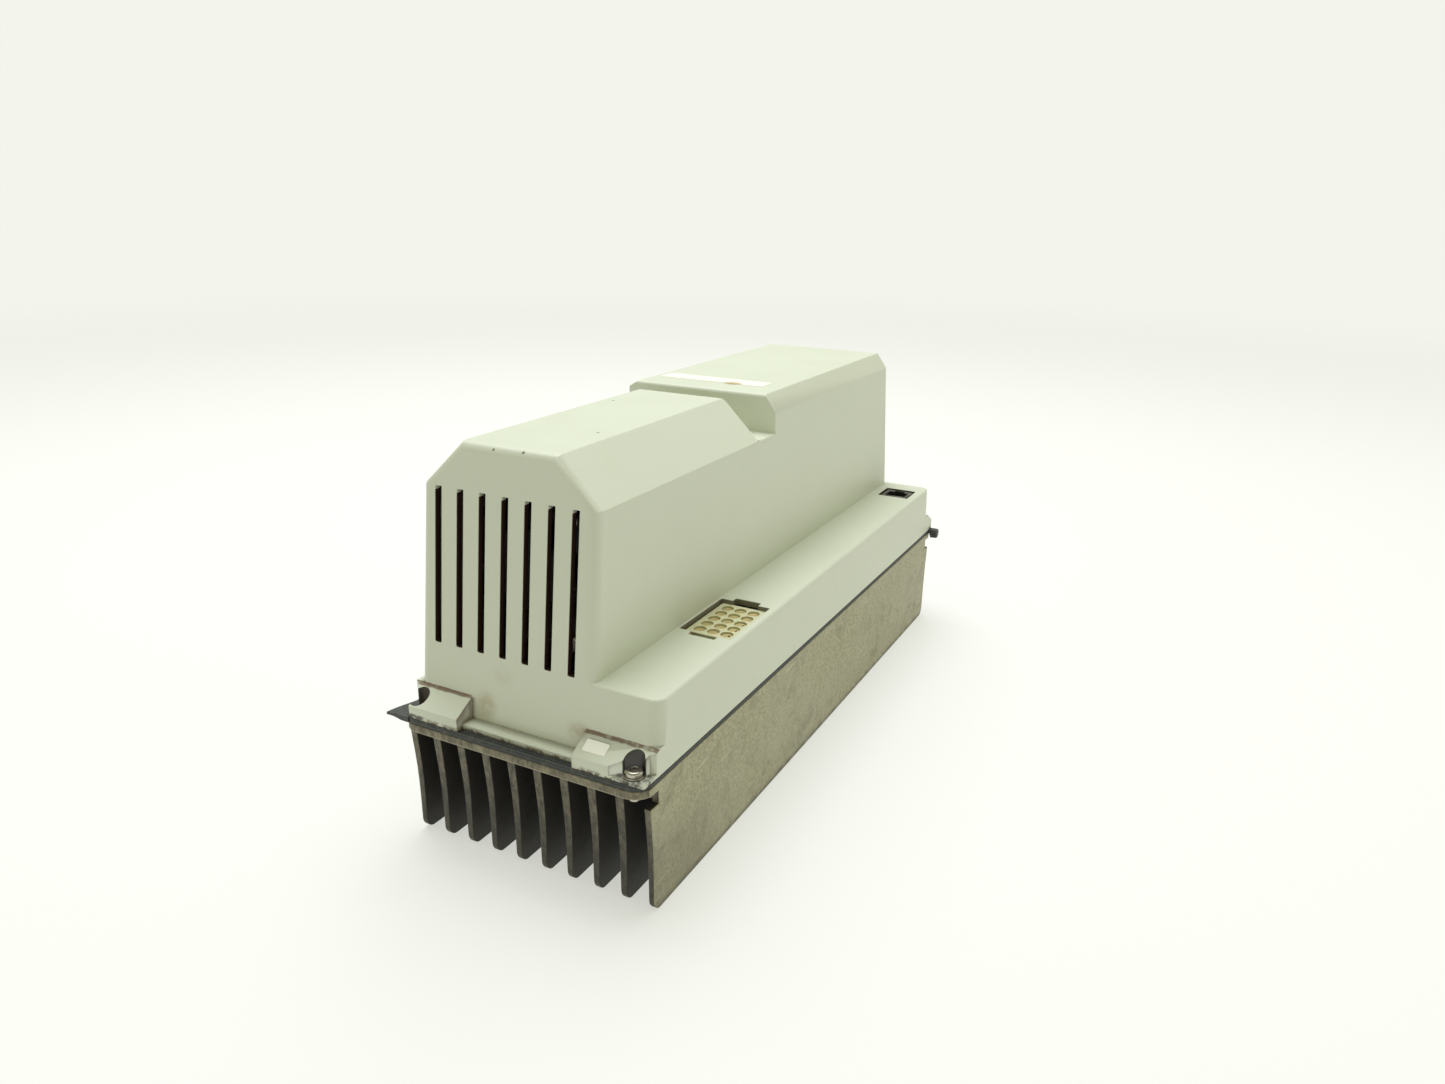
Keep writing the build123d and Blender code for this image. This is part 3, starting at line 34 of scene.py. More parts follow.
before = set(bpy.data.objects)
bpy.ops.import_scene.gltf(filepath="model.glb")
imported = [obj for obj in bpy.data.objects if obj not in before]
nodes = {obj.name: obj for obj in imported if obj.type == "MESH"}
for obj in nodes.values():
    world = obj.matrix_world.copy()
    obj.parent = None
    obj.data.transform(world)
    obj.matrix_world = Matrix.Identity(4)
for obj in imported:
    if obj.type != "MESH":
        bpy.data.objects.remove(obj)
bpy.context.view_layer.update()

MM = 0.001

# Places read from the frame
HEAT_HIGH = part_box("heatsink")[1]
RUBBER_LOW, RUBBER_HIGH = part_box("gasket")
COVER_LOW, COVER_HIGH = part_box("cover")
SIDE = HEAT_HIGH.x
END = HEAT_HIGH.y
FLANGE_TOP = HEAT_HIGH.z
SEAT = COVER_LOW.z
ROOF = COVER_HIGH.z
WASHER_LOW, WASHER_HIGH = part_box("cover_washers")
WASHER_R = 4.0 * MM
SCREW_X = WASHER_HIGH.x - WASHER_R
SCREW_Y = WASHER_HIGH.y - WASHER_R
WEB_TOP = WASHER_LOW.z
JACK_RECESS = 0.6 * MM        # from the ledge's top down to the service jack's
LEDGE_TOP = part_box("service_jack")[1].z + JACK_RECESS
FAN_LOW, FAN_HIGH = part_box("fan_frame")
FAN_X = (FAN_LOW.x + FAN_HIGH.x) / 2


# ---------------------------------------------------------------- node helpers

class Shader:
    """A material under construction: makes nodes and links them, one call for each."""

    def __init__(self, name):
        self.material = bpy.data.materials.new(name)
        self.material.use_nodes = True
        self.tree = self.material.node_tree
        self.surface = self.tree.nodes["Principled BSDF"]
        coordinates = self.tree.nodes.new("ShaderNodeTexCoord")
        self.place = coordinates.outputs["Object"]

    def link(self, value, socket):
        """Set a socket from another socket or from a plain value."""
        if isinstance(value, bpy.types.NodeSocket):
            self.tree.links.new(value, socket)
        elif socket.type == "RGBA":
            socket.default_value = (*value, 1.0)
        else:
            socket.default_value = value

    def math(self, operation, *values, clamp=False):
        node = self.tree.nodes.new("ShaderNodeMath")
        node.operation = operation
        node.use_clamp = clamp
        for value, socket in zip(values, node.inputs):
            self.link(value, socket)
        return node.outputs[0]

    def axis(self, index):
        """One coordinate of the point being shaded, 0 to 2."""
        node = self.tree.nodes.new("ShaderNodeSeparateXYZ")
        self.link(self.place, node.inputs[0])
        return node.outputs[index]

    def normal(self, index):
        """One coordinate of the surface's direction."""
        geometry = self.tree.nodes.new("ShaderNodeNewGeometry")
        node = self.tree.nodes.new("ShaderNodeSeparateXYZ")
        self.link(geometry.outputs["True Normal"], node.inputs[0])
        return node.outputs[index]

    def stretched(self, scale):
        node = self.tree.nodes.new("ShaderNodeMapping")
        self.link(self.place, node.inputs["Vector"])
        node.inputs["Scale"].default_value = scale
        return node.outputs[0]

    def noise(self, size, detail=4.0, roughness=0.55, stretch=(1.0, 1.0, 1.0), distortion=0.0):
        """Cloudy noise, 0 to 1, whose blobs are about size metres across."""
        node = self.tree.nodes.new("ShaderNodeTexNoise")
        self.link(self.stretched(stretch), node.inputs["Vector"])
        node.inputs["Scale"].default_value = 1.0 / size
        node.inputs["Detail"].default_value = detail
        node.inputs["Roughness"].default_value = roughness
        node.inputs["Distortion"].default_value = distortion
        return node.outputs["Fac"]

    def cells(self, size, feature="F1", stretch=(1.0, 1.0, 1.0)):
        node = self.tree.nodes.new("ShaderNodeTexVoronoi")
        node.feature = feature
        self.link(self.stretched(stretch), node.inputs["Vector"])
        node.inputs["Scale"].default_value = 1.0 / size
        return node

    def ramp(self, value, low, high, start=0.0, stop=1.0):
        """value from low to high becomes start to stop, smoothly."""
        node = self.tree.nodes.new("ShaderNodeMapRange")
        node.interpolation_type = "SMOOTHSTEP"
        self.link(value, node.inputs["Value"])
        node.inputs["From Min"].default_value = low
        node.inputs["From Max"].default_value = high
        node.inputs["To Min"].default_value = start
        node.inputs["To Max"].default_value = stop
        return node.outputs[0]

    def times(self, first, second):
        return self.math("MULTIPLY", first, second)

    def mix(self, factor, first, second):
        """The first colour where factor is 0 and the second where it is 1."""
        node = self.tree.nodes.new("ShaderNodeMix")
        node.data_type = "RGBA"
        self.link(factor, node.inputs[0])
        self.link(first, node.inputs[6])
        self.link(second, node.inputs[7])
        return node.outputs[2]

    def stained(self, tone, mask, strength, colour):
        """A tone, covered by a colour where the mask is 1, up to a strength."""
        return self.mix(self.times(mask, strength), tone, colour)

    def crevice(self, reach):
        """1 deep in corners, 0 on open faces."""
        node = self.tree.nodes.new("ShaderNodeAmbientOcclusion")
        node.samples = 6
        node.inputs["Distance"].default_value = reach
        return self.math("SUBTRACT", 1.0, node.outputs["AO"], clamp=True)

    def specks(self, spacing, radius, share):
        """Sparse round specks: one in each cell of a coarse grid, kept for a share of the cells."""
        cell = self.cells(spacing)
        disc = self.ramp(cell.outputs["Distance"], radius / spacing, 0.6 * radius / spacing)
        chosen = self.tree.nodes.new("ShaderNodeSeparateColor")
        self.link(cell.outputs["Color"], chosen.inputs[0])
        keep = self.math("LESS_THAN", chosen.outputs[0], share)
        return self.times(disc, keep)

    def spot(self, centre, radii, softness=0.5):
        """An oval patch at a place on the object."""
        shift = self.tree.nodes.new("ShaderNodeVectorMath")
        shift.operation = "SUBTRACT"
        self.link(self.place, shift.inputs[0])
        shift.inputs[1].default_value = centre
        shrink = self.tree.nodes.new("ShaderNodeVectorMath")
        shrink.operation = "DIVIDE"
        self.link(shift.outputs[0], shrink.inputs[0])
        shrink.inputs[1].default_value = radii
        length = self.tree.nodes.new("ShaderNodeVectorMath")
        length.operation = "LENGTH"
        self.link(shrink.outputs[0], length.inputs[0])
        return self.ramp(length.outputs["Value"], 1.0, 1.0 - softness)

    def bump(self, height, depth, normal=None):
        node = self.tree.nodes.new("ShaderNodeBump")
        node.inputs["Strength"].default_value = 1.0
        node.inputs["Distance"].default_value = depth
        self.link(height, node.inputs["Height"])
        if normal is not None:
            self.link(normal, node.inputs["Normal"])
        return node.outputs[0]

    def finish(self, **sockets):
        """Set the surface's inputs, named with _ for a space, and return the material."""
        for name, value in sockets.items():
            self.link(value, self.surface.inputs[name.replace("_", " ")])
        return self.material


# ---------------------------------------------------------------- materials

HOOD_TONE = (0.640, 0.672, 0.560)
YELLOWED = (0.42, 0.38, 0.24)             # old handling
RUBBED_PALE = (0.85, 0.87, 0.80)          # scuffs
FLECK_TONE = (0.14, 0.11, 0.07)
STAIN_TONE = (0.36, 0.27, 0.12)
NICK_TONE = (0.10, 0.08, 0.05)
HAZE_TONE = (0.33, 0.24, 0.12)            # soft dirt near the feet
SEAM_TONE = (0.13, 0.055, 0.025)
FOOT_SEAM_TONE = (0.150, 0.070, 0.032)
HEM_TONE = (0.12, 0.085, 0.045)           # chipped lower edge
WELL_TONE = (0.026, 0.018, 0.012)         # round the screws
SLOT_TONE = (0.040, 0.018, 0.012)         # fan dirt
JACK_EDGE_TONE = (0.060, 0.038, 0.022)
# painted shade on the cut walls round the power socket
SOCKET_WINDOW_SHADE = (0.110, 0.085, 0.050)
FOOT_TOP = 10.9 * MM          # above the seat, where the feet meet the end walls
FOOT_ENDS = (-SIDE + 29.5 * MM, SIDE - 31.2 * MM)
FRONT_WALL = -END + 9.4 * MM
STAINS = (                    # centre, radii and strength, on the hood
    ((-4 * MM, 10 * MM, ROOF), (5.5 * MM, 4 * MM, 2 * MM), 0.75),
    ((3 * MM, 12 * MM, ROOF), (4 * MM, 3 * MM, 2 * MM), 0.35),
    ((-21 * MM, FRONT_WALL, SEAT + 9 * MM), (7 * MM, 4 * MM, 9 * MM), 0.45),
    ((-13 * MM, FRONT_WALL, SEAT + 24 * MM), (9 * MM, 4 * MM, 8 * MM), 0.22),
    ((24 * MM, FRONT_WALL, SEAT + 9 * MM), (8 * MM, 4 * MM, 6 * MM), 0.45),
    ((-8 * MM, FRONT_WALL, SEAT), (16 * MM, 7 * MM, 3 * MM), 0.35),
)
NICK_RADII = (0.9 * MM, 0.7 * MM, 3 * MM)
NICKS = (
    (-41 * MM, -END + 21 * MM, ROOF - 0.5 * MM),
    (-24 * MM, -END + 20.5 * MM, ROOF - 0.3 * MM),
    (-19.5 * MM, -END + 21.5 * MM, ROOF),
    (-6 * MM, -END + 22 * MM, ROOF),
    (1 * MM, -END + 60 * MM, ROOF),
    (-30 * MM, -END + 118 * MM, ROOF),
)
DUST_TONE = (0.45, 0.42, 0.36)
TONE_DRIFT = 0.12             # how far a plain colour wanders, as a share of itself


def plain_finish(name, colour, roughness, metallic=0.0, blotch=12 * MM, grain=0.5 * MM,
                 relief=0.01 * MM, dust=0.0, coat=0.0):
    """Colour that drifts a little, fine grain, uneven gloss, and dust on what faces up."""
    s = Shader(name)
    drift = s.noise(blotch)
    darker = tuple(c * (1 - 2 * TONE_DRIFT) for c in colour)
    lighter = tuple(min(1.0, c * (1 + TONE_DRIFT)) for c in colour)
    tone = s.mix(drift, darker, lighter)
    if dust > 0:
        up = s.ramp(s.normal(2), 0.2, 1.0)
        patchy = s.ramp(s.noise(4 * MM, detail=6), 0.35, 0.75)
        lying = s.times(s.times(up, patchy), dust)
        tone = s.mix(lying, tone, DUST_TONE)
    gloss = s.math("ADD", s.times(s.noise(3 * blotch), 0.25), roughness - 0.12)
    return s.finish(
        Base_Color=tone, Roughness=gloss, Metallic=metallic, Coat_Weight=coat,
        Normal=s.bump(s.noise(grain, detail=3), relief),
    )


def slot_edges(s):
    """1 on the cut sides of the vent slots, where the fan has drawn dirt through."""
    away = s.math("ABSOLUTE", s.axis(1))
    deep = s.math("GREATER_THAN", away, END - 28 * MM)
    above = s.math("GREATER_THAN", s.axis(2), LEDGE_TOP + 0.4 * MM)
    below = s.math("LESS_THAN", s.axis(2), ROOF - 20 * MM)
    from_middle = s.math("ABSOLUTE", s.math("SUBTRACT", s.axis(0), FAN_X))
    inner = s.math("LESS_THAN", from_middle, 38 * MM)
    turned = s.math("LESS_THAN", s.math("ABSOLUTE", s.normal(1)), 0.45)
    mask = s.times(s.times(deep, above), s.times(below, inner))
    return s.times(mask, turned)


def foot_seams(s):
    """1 on the dirty lines where the feet meet the hood's end walls."""
    above = s.math("ABSOLUTE", s.math("SUBTRACT", s.axis(2), SEAT + FOOT_TOP))
    wander = s.times(s.noise(3 * MM, detail=4), 0.9 * MM)
    line = s.ramp(s.math("SUBTRACT", above, wander), 0.35 * MM, 0.0)
    on_foot = s.math("LESS_THAN", s.axis(0), FOOT_ENDS[0])
    on_foot = s.math("MAXIMUM", on_foot, s.math("GREATER_THAN", s.axis(0), FOOT_ENDS[1]))
    line = s.times(line, on_foot)
    under = s.ramp(s.axis(2), SEAT + FOOT_TOP + 0.6 * MM, SEAT + FOOT_TOP - 0.4 * MM)
    for end, side in zip(FOOT_ENDS, (1, -1)):
        beyond = s.times(s.math("SUBTRACT", s.axis(0), end), side)
        smear = s.times(s.ramp(beyond, 2.6 * MM, 0.1 * MM, 0.0, 0.6), under)
        smear = s.times(smear, s.math("GREATER_THAN", beyond, -0.05 * MM))
        line = s.math("MAXIMUM", line, smear)
    near_end = s.math("GREATER_THAN", s.math("ABSOLUTE", s.axis(1)), END - 11.5 * MM)
    return s.times(line, near_end)


def window_edges(s, node, reach):
    """1 on the ledge's cut edges round a socket."""
    low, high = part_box(node)
    mask = s.math("LESS_THAN", s.math("ABSOLUTE", s.normal(2)), 0.5)
    for index in (0, 1):
        middle = (low[index] + high[index]) / 2
        half = (high[index] - low[index]) / 2 + reach
        away = s.math("ABSOLUTE", s.math("SUBTRACT", s.axis(index), middle))
        mask = s.times(mask, s.math("LESS_THAN", away, half))
    band = s.math("ABSOLUTE", s.math("SUBTRACT", s.axis(2), LEDGE_TOP - 2.2 * MM))
    return s.times(mask, s.math("LESS_THAN", band, 2.1 * MM))


def screw_wells(s):
    """1 on the counterbores' walls and on the webs round the screws."""
    x = s.math("SUBTRACT", s.math("ABSOLUTE", s.axis(0)), SCREW_X)
    y = s.math("SUBTRACT", s.math("ABSOLUTE", s.axis(1)), SCREW_Y)
    radius = s.math("SQRT", s.math("ADD", s.times(x, x), s.times(y, y)))
    near = s.ramp(radius, WASHER_R + 0.5 * MM, WASHER_R + 0.3 * MM)
    upright = s.math("LESS_THAN", s.math("ABSOLUTE", s.normal(2)), 0.6)
    low = s.ramp(s.axis(2), WEB_TOP + 0.8 * MM, WEB_TOP + 0.2 * MM)
    web = s.times(s.ramp(radius, 9 * MM, 5 * MM), low)
    ragged = s.ramp(s.noise(1.6 * MM, detail=6), 0.22, 0.70, 0.15, 1.0)
    return s.math("MAXIMUM", s.times(near, upright), s.times(web, ragged))


def hood_material():
    """Light grey-green moulded plastic, handled and a little stained."""
    s = Shader("hood plastic")
    tone = s.mix(s.noise(60 * MM, detail=3), HOOD_TONE, tuple(1.05 * c for c in HOOD_TONE))
    smear = s.ramp(s.noise(28 * MM, detail=6, roughness=0.65, distortion=0.6), 0.56, 0.80)
    tone = s.stained(tone, smear, 0.07, YELLOWED)
    rub = s.ramp(s.noise(9 * MM, detail=8, roughness=0.7, stretch=(1, 0.25, 1)), 0.62, 0.80)
    tone = s.stained(tone, rub, 0.08, RUBBED_PALE)
    fleck = s.specks(19 * MM, 0.30 * MM, 0.10)
    tone = s.stained(tone, fleck, 0.6, FLECK_TONE)
    for centre, radii, strength in STAINS:
        patch = s.times(s.spot(centre, radii, 0.7), s.ramp(s.noise(3 * MM, detail=6), 0.2, 0.6))
        tone = s.stained(tone, patch, strength, STAIN_TONE)
    for centre in NICKS:
        tone = s.stained(tone, s.spot(centre, NICK_RADII), 0.9, NICK_TONE)
    feet = s.ramp(s.axis(2), SEAT + 24 * MM, SEAT + 19 * MM, 0.06, 1.0)
    ragged = s.ramp(s.noise(2.6 * MM, detail=7, roughness=0.7), 0.28, 0.58)
    haze = s.times(s.ramp(s.crevice(7 * MM), 0.22, 0.85), 0.42)
    tone = s.stained(tone, haze, feet, HAZE_TONE)
    seam = s.times(s.ramp(s.crevice(1.7 * MM), 0.22, 0.46), s.times(ragged, feet))
    tone = s.stained(tone, seam, 0.85, SEAM_TONE)
    joint = s.times(foot_seams(s), s.ramp(s.noise(5 * MM, detail=5), 0.30, 0.52, 0.35, 1.0))
    tone = s.stained(tone, joint, 0.85, FOOT_SEAM_TONE)
    hem = s.ramp(s.axis(2), SEAT + 2.2 * MM, SEAT + 0.2 * MM)
    ends = s.math("GREATER_THAN", s.math("ABSOLUTE", s.axis(1)), END - 6 * MM)
    chips = s.ramp(s.noise(3.2 * MM, detail=5, roughness=0.6), 0.47, 0.56)
    hem = s.times(s.times(hem, ends), chips)
    tone = s.stained(tone, hem, 0.9, HEM_TONE)
    tone = s.stained(tone, screw_wells(s), 0.96, WELL_TONE)
    tone = s.mix(slot_edges(s), tone, SLOT_TONE)
    tone = s.mix(window_edges(s, "service_jack", 1.6 * MM), tone, JACK_EDGE_TONE)
    # Painted shade: the cut walls round the power socket are darkened towards brown.
    socket_window_shade = s.times(window_edges(s, "power_socket", 2.6 * MM), 0.85)
    tone = s.mix(socket_window_shade, tone, SOCKET_WINDOW_SHADE)
    gloss = s.math("ADD", s.times(s.noise(20 * MM, detail=5), 0.20), 0.36)
    gloss = s.math("ADD", gloss, s.times(seam, 0.3), clamp=True)
    mould = s.bump(s.noise(0.7 * MM, detail=3), 0.012 * MM)
    ripple = s.bump(s.noise(35 * MM, detail=2), 0.25 * MM, mould)
    return s.finish(Base_Color=tone, Roughness=gloss, Normal=ripple)


MACHINED = ((0.255, 0.238, 0.145), (0.500, 0.482, 0.315))   # outer sides, dark and light grains
OXIDE_AND_SHADE = ((0.009, 0.008, 0.006), (0.040, 0.035, 0.026))      # between the fins: oxidised metal, darkened further with painted shade
WORN = ((0.030, 0.027, 0.019), (0.100, 0.090, 0.062))       # ends of the fins
RIM = ((0.085, 0.072, 0.044), (0.310, 0.280, 0.185))        # the flange's edge
MACHINED_GREY = (0.42, 0.42, 0.305)
SCRAPED = (0.66, 0.66, 0.55)
TARNISH = (0.19, 0.172, 0.100)
FRONT_DIRT = (0.17, 0.16, 0.11)
TIP_DIRT = (0.075, 0.068, 0.045)
PIT_TONE = (0.07, 0.065, 0.05)
SCUFF_TONE = (0.075, 0.080, 0.055)
WORN_HIGH = (0.200, 0.178, 0.118)
# lighter lower edge of the flange: wear, and a painted highlight
RIM_WEAR_AND_HIGHLIGHT = (0.48, 0.45, 0.33)


def heatsink_material():
    """Machined outer sides that have gone tan, oxidised metal darkened with painted shade between the
    fins, worn edges.
    """
    s = Shader("heatsink aluminium")
    across = s.math("ABSOLUTE", s.axis(0))
    side = s.math("GREATER_THAN", across, SIDE - 0.45 * MM)
    sparkle = s.noise(1.3 * MM, detail=5, roughness=0.85)
    machined = s.mix(s.ramp(sparkle, 0.36, 0.66), *MACHINED)
    drift = s.ramp(s.noise(45 * MM, detail=5, roughness=0.6), 0.30, 0.75)
    machined = s.stained(machined, drift, 0.5, MACHINED_GREY)
    scrape = s.ramp(s.noise(2.2 * MM, detail=4, stretch=(1, 0.06, 1)), 0.62, 0.74)
    machined = s.stained(machined, scrape, 0.30, SCRAPED)
    shade = s.ramp(s.noise(22 * MM, detail=6, roughness=0.7, distortion=0.8), 0.48, 0.70)
    machined = s.stained(machined, shade, 0.60, TARNISH)
    front = s.ramp(s.axis(1), -END + 90 * MM, -END + 10 * MM)
    lower = s.ramp(s.axis(2), 46 * MM, 18 * MM)
    machined = s.stained(machined, s.times(front, lower), 0.40, FRONT_DIRT)
    foot = s.ramp(s.math("ADD", s.axis(2), s.times(s.noise(5 * MM), 5 * MM)), 6.5 * MM, 2.5 * MM)
    machined = s.stained(machined, foot, 0.75, TIP_DIRT)
    pits = s.specks(4.5 * MM, 0.42 * MM, 0.34)
    machined = s.stained(machined, pits, 0.75, PIT_TONE)
    scuff = s.ramp(s.noise(13 * MM, detail=9, roughness=0.8, distortion=1.4), 0.66, 0.74)
    machined = s.stained(machined, scuff, 0.65, SCUFF_TONE)
    # Between the fins: oxidised metal, made near black with painted shade of the deep gaps.
    oxide_and_shade = s.mix(s.noise(4 * MM, detail=7, roughness=0.7), *OXIDE_AND_SHADE)
    facing = s.ramp(s.math("ABSOLUTE", s.normal(1)), 0.35, 0.8)
    mottle = s.ramp(s.noise(2.4 * MM, detail=7, roughness=0.75, stretch=(1, 1, 0.5)), 0.30, 0.75)
    high = s.ramp(s.axis(2), 12 * MM, 48 * MM)
    worn = s.mix(mottle, *WORN)
    worn = s.stained(worn, high, mottle, WORN_HIGH)
    body = s.mix(facing, oxide_and_shade, worn)
    rim = s.ramp(s.axis(2), FLANGE_TOP - 3.7 * MM, FLANGE_TOP - 3.3 * MM)
    edge = s.mix(mottle, *RIM)
    # The flange's lower edge made lighter: partly wear, partly a painted highlight.
    lip = s.ramp(s.axis(2), FLANGE_TOP - 2.5 * MM, FLANGE_TOP - 3.2 * MM)
    edge = s.stained(edge, lip, 0.6, RIM_WEAR_AND_HIGHLIGHT)
    body = s.mix(rim, body, edge)
    tone = s.mix(side, body, machined)
    gloss = s.math("ADD", s.times(sparkle, 0.30), 0.38)
    metal = s.times(side, 0.45)
    grain = s.bump(sparkle, 0.035 * MM)
    dents = s.bump(s.noise(5 * MM, detail=6), 0.14 * MM, grain)
    return s.finish(Base_Color=tone, Roughness=gloss, Metallic=metal, Normal=dents)


def rubber_material():
    """Black rubber, grey with dust in patches."""
    s = Shader("gasket rubber")
    tone = s.mix(s.noise(6 * MM, detail=6), (0.030, 0.034, 0.034), (0.075, 0.082, 0.080))
    dust = s.ramp(s.noise(2.5 * MM, detail=7, roughness=0.7), 0.48, 0.75)
    tone = s.stained(tone, dust, 0.45, (0.24, 0.22, 0.17))
    gloss = s.math("ADD", s.times(dust, 0.25), 0.55)
    return s.finish(
        Base_Color=tone, Roughness=gloss, Normal=s.bump(s.noise(0.8 * MM, detail=5), 0.06 * MM),
    )


def steel_material():
    """Plated fasteners, bright on the faces and dirty in the sockets and round the washers."""
    s = Shader("plated steel")
    tone = s.mix(s.noise(1.2 * MM, detail=5), (0.30, 0.27, 0.22), (0.66, 0.63, 0.56))
    dirt = s.ramp(s.crevice(1.6 * MM), 0.25, 0.8)
    tone = s.stained(tone, dirt, 0.85, (0.055, 0.040, 0.025))
    gloss = s.math("ADD", s.times(dirt, 0.4), 0.24)
    return s.finish(
        Base_Color=tone, Roughness=gloss, Metallic=1.0, Normal=s.bump(s.noise(0.3 * MM), 0.01 * MM),
    )


def paper_material():
    """Off-white sticker, with the roof's brown stain running on across it."""
    s = Shader("blank sticker")
    tone = s.mix(s.noise(9 * MM, detail=6), (0.85, 0.84, 0.75), (0.92, 0.91, 0.83))
    blot = s.times(s.spot((-4 * MM, 10 * MM, ROOF), (6.5 * MM, 5 * MM, 3 * MM), 0.5), 0.85)
    ragged = s.ramp(s.noise(2.2 * MM, detail=6), 0.28, 0.48)
    tone = s.stained(tone, blot, ragged, (0.50, 0.36, 0.14))
    fibre = s.noise(0.35 * MM, detail=5, roughness=0.8)
    gloss = s.math("ADD", s.times(fibre, 0.2), 0.45)
    return s.finish(Base_Color=tone, Roughness=gloss, Normal=s.bump(fibre, 0.008 * MM))


def nylon_material():
    """Cream socket body with brown dust settled into its corners."""
    s = Shader("cream nylon")
    tone = s.mix(s.noise(5 * MM, detail=4), (0.640, 0.630, 0.400), (0.740, 0.730, 0.500))
    dirt = s.times(s.ramp(s.crevice(1.5 * MM), 0.35, 0.95), 0.55)
    tone = s.mix(dirt, tone, (0.40, 0.30, 0.11))
    return s.finish(
        Base_Color=tone, Roughness=0.45, Subsurface_Weight=0.12, Subsurface_Scale=1.5 * MM,
        Normal=s.bump(s.noise(0.5 * MM, detail=4), 0.015 * MM),
    )


def board_material():
    """Green solder mask over faint copper runs."""
    s = Shader("circuit board")
    runs = s.cells(3.2 * MM, feature="DISTANCE_TO_EDGE", stretch=(1, 0.35, 1))
    trace = s.ramp(runs.outputs["Distance"], 0.10, 0.06)
    tone = s.mix(trace, (0.020, 0.130, 0.055), (0.045, 0.230, 0.095))
    tone = s.stained(tone, s.noise(14 * MM, detail=5), 0.35, (0.10, 0.12, 0.06))
    return s.finish(Base_Color=tone, Roughness=0.38, Coat_Weight=0.3, Normal=s.bump(trace, 0.03 * MM))


MATERIALS = {
    "hood_plastic": hood_material(),
    "raw_aluminium": heatsink_material(),
    "grey_rubber": rubber_material(),
    "plated_steel": steel_material(),
    "white_paper": paper_material(),
    "cream_nylon": nylon_material(),
    "circuit_board": board_material(),
    "galvanised": plain_finish("galvanised sheet", (0.52, 0.54, 0.55), 0.38, 0.9, blotch=5 * MM, dust=0.3),
    "tinned_brass": plain_finish("tinned contacts", (0.56, 0.46, 0.20), 0.55, 0.1, blotch=3 * MM),
    "black_plastic": plain_finish("black plastic", (0.022, 0.021, 0.020), 0.45, dust=0.35),
    "grey_silicone": plain_finish("thermal pad", (0.42, 0.45, 0.47), 0.70, grain=0.8 * MM),
    "copper": plain_finish("enamelled copper", (0.56, 0.22, 0.09), 0.30, 0.85, coat=0.5),
    "brass": plain_finish("brass", (0.66, 0.49, 0.20), 0.32, 1.0, dust=0.2),
    "blue_sleeve": plain_finish("capacitor sleeve", (0.025, 0.050, 0.155), 0.26, coat=0.4, dust=0.4),
    "grey_box": plain_finish("grey module case", (0.36, 0.38, 0.39), 0.42, dust=0.4),
    "ferrite": plain_finish("ferrite", (0.050, 0.050, 0.055), 0.48, grain=0.3 * MM, relief=0.03 * MM),
    "yellow_tape": plain_finish("wound tape", (0.72, 0.52, 0.08), 0.35, coat=0.3, dust=0.3),
    "relay_blue": plain_finish("relay case", (0.055, 0.150, 0.380), 0.34, dust=0.4),
    "grey_ribbon": plain_finish("ribbon cable", (0.42, 0.42, 0.41), 0.50, dust=0.2),
    "bearing_steel": plain_finish("bearing steel", (0.62, 0.62, 0.63), 0.20, 1.0),
    "fan_plastic": plain_finish("fan plastic", (0.028, 0.028, 0.028), 0.40, dust=0.55),
    "white_plastic": plain_finish("white plastic", (0.72, 0.70, 0.62), 0.42, dust=0.2),
}


for cad in nodes.values():
    material = MATERIALS[cad.data.materials[0].name.split(".")[0]]
    for slot in cad.material_slots:
        slot.material = material


# ---------------------------------------------------------------- detailed pieces

WELD = 0.001 * MM                     # points closer than this are one
FLAT_ANGLE = math.radians(0.3)        # faces this close to level are joined
EASED_ANGLE = math.radians(32)        # edges sharper than this are eased
SMOOTH_ANGLE = math.radians(38)       # edges sharper than this are shaded as edges
CORNER_STEPS = 10
FEET_TOP = SEAT + 16 * MM             # below this the hood keeps its CAD edges


def add_piece(name, form, node, slot, body="drive"):
    """Make an object of a finished bmesh, in place of a CAD node."""
    mesh = bpy.data.meshes.new(name)
    form.to_mesh(mesh)
    form.free()
    for polygon in mesh.polygons:
        polygon.use_smooth = True
    mesh.set_sharp_from_angle(angle=SMOOTH_ANGLE)
    mesh.materials.append(MATERIALS[slot])
    piece = bpy.data.objects.new(name, mesh)
    bpy.context.scene.collection.objects.link(piece)
    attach(piece, body)
    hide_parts(node)
    return piece


def softened(node, name, slot, width, above=-1.0):
    """A CAD node's own shape, its sharp edges eased wherever their middles are above a height."""
    form = bmesh.new()
    form.from_mesh(nodes[node].data)
    bmesh.ops.remove_doubles(form, verts=form.verts, dist=WELD)
    bmesh.ops.dissolve_limit(form, angle_limit=FLAT_ANGLE, verts=form.verts, edges=form.edges)
    sharp = [
        e for e in form.edges
        if e.is_manifold
        and e.calc_face_angle() > EASED_ANGLE
        and (e.verts[0].co.z + e.verts[1].co.z) / 2 > above
    ]
    bmesh.ops.bevel(
        form, geom=sharp, offset=width, segments=2, profile=0.5, affect="EDGES",
        clamp_overlap=False,
    )
    piece = add_piece(name, form, node, slot)
    weighted = piece.modifiers.new("weighted normals", "WEIGHTED_NORMAL")
    weighted.keep_sharp = True


def ring_points(half_x, half_y, radius):
    """Points of a rounded rectangle about the origin, the same number for any size."""
    points = []
    for corner in range(4):
        sx = 1 if corner in (0, 3) else -1
        sy = 1 if corner in (0, 1) else -1
        for step in range(CORNER_STEPS + 1):
            angle = math.radians(90 * (corner + step / CORNER_STEPS))
            points.append((
                sx * (half_x - radius) + radius * math.cos(angle),
                sy * (half_y - radius) + radius * math.sin(angle),
            ))
    return points


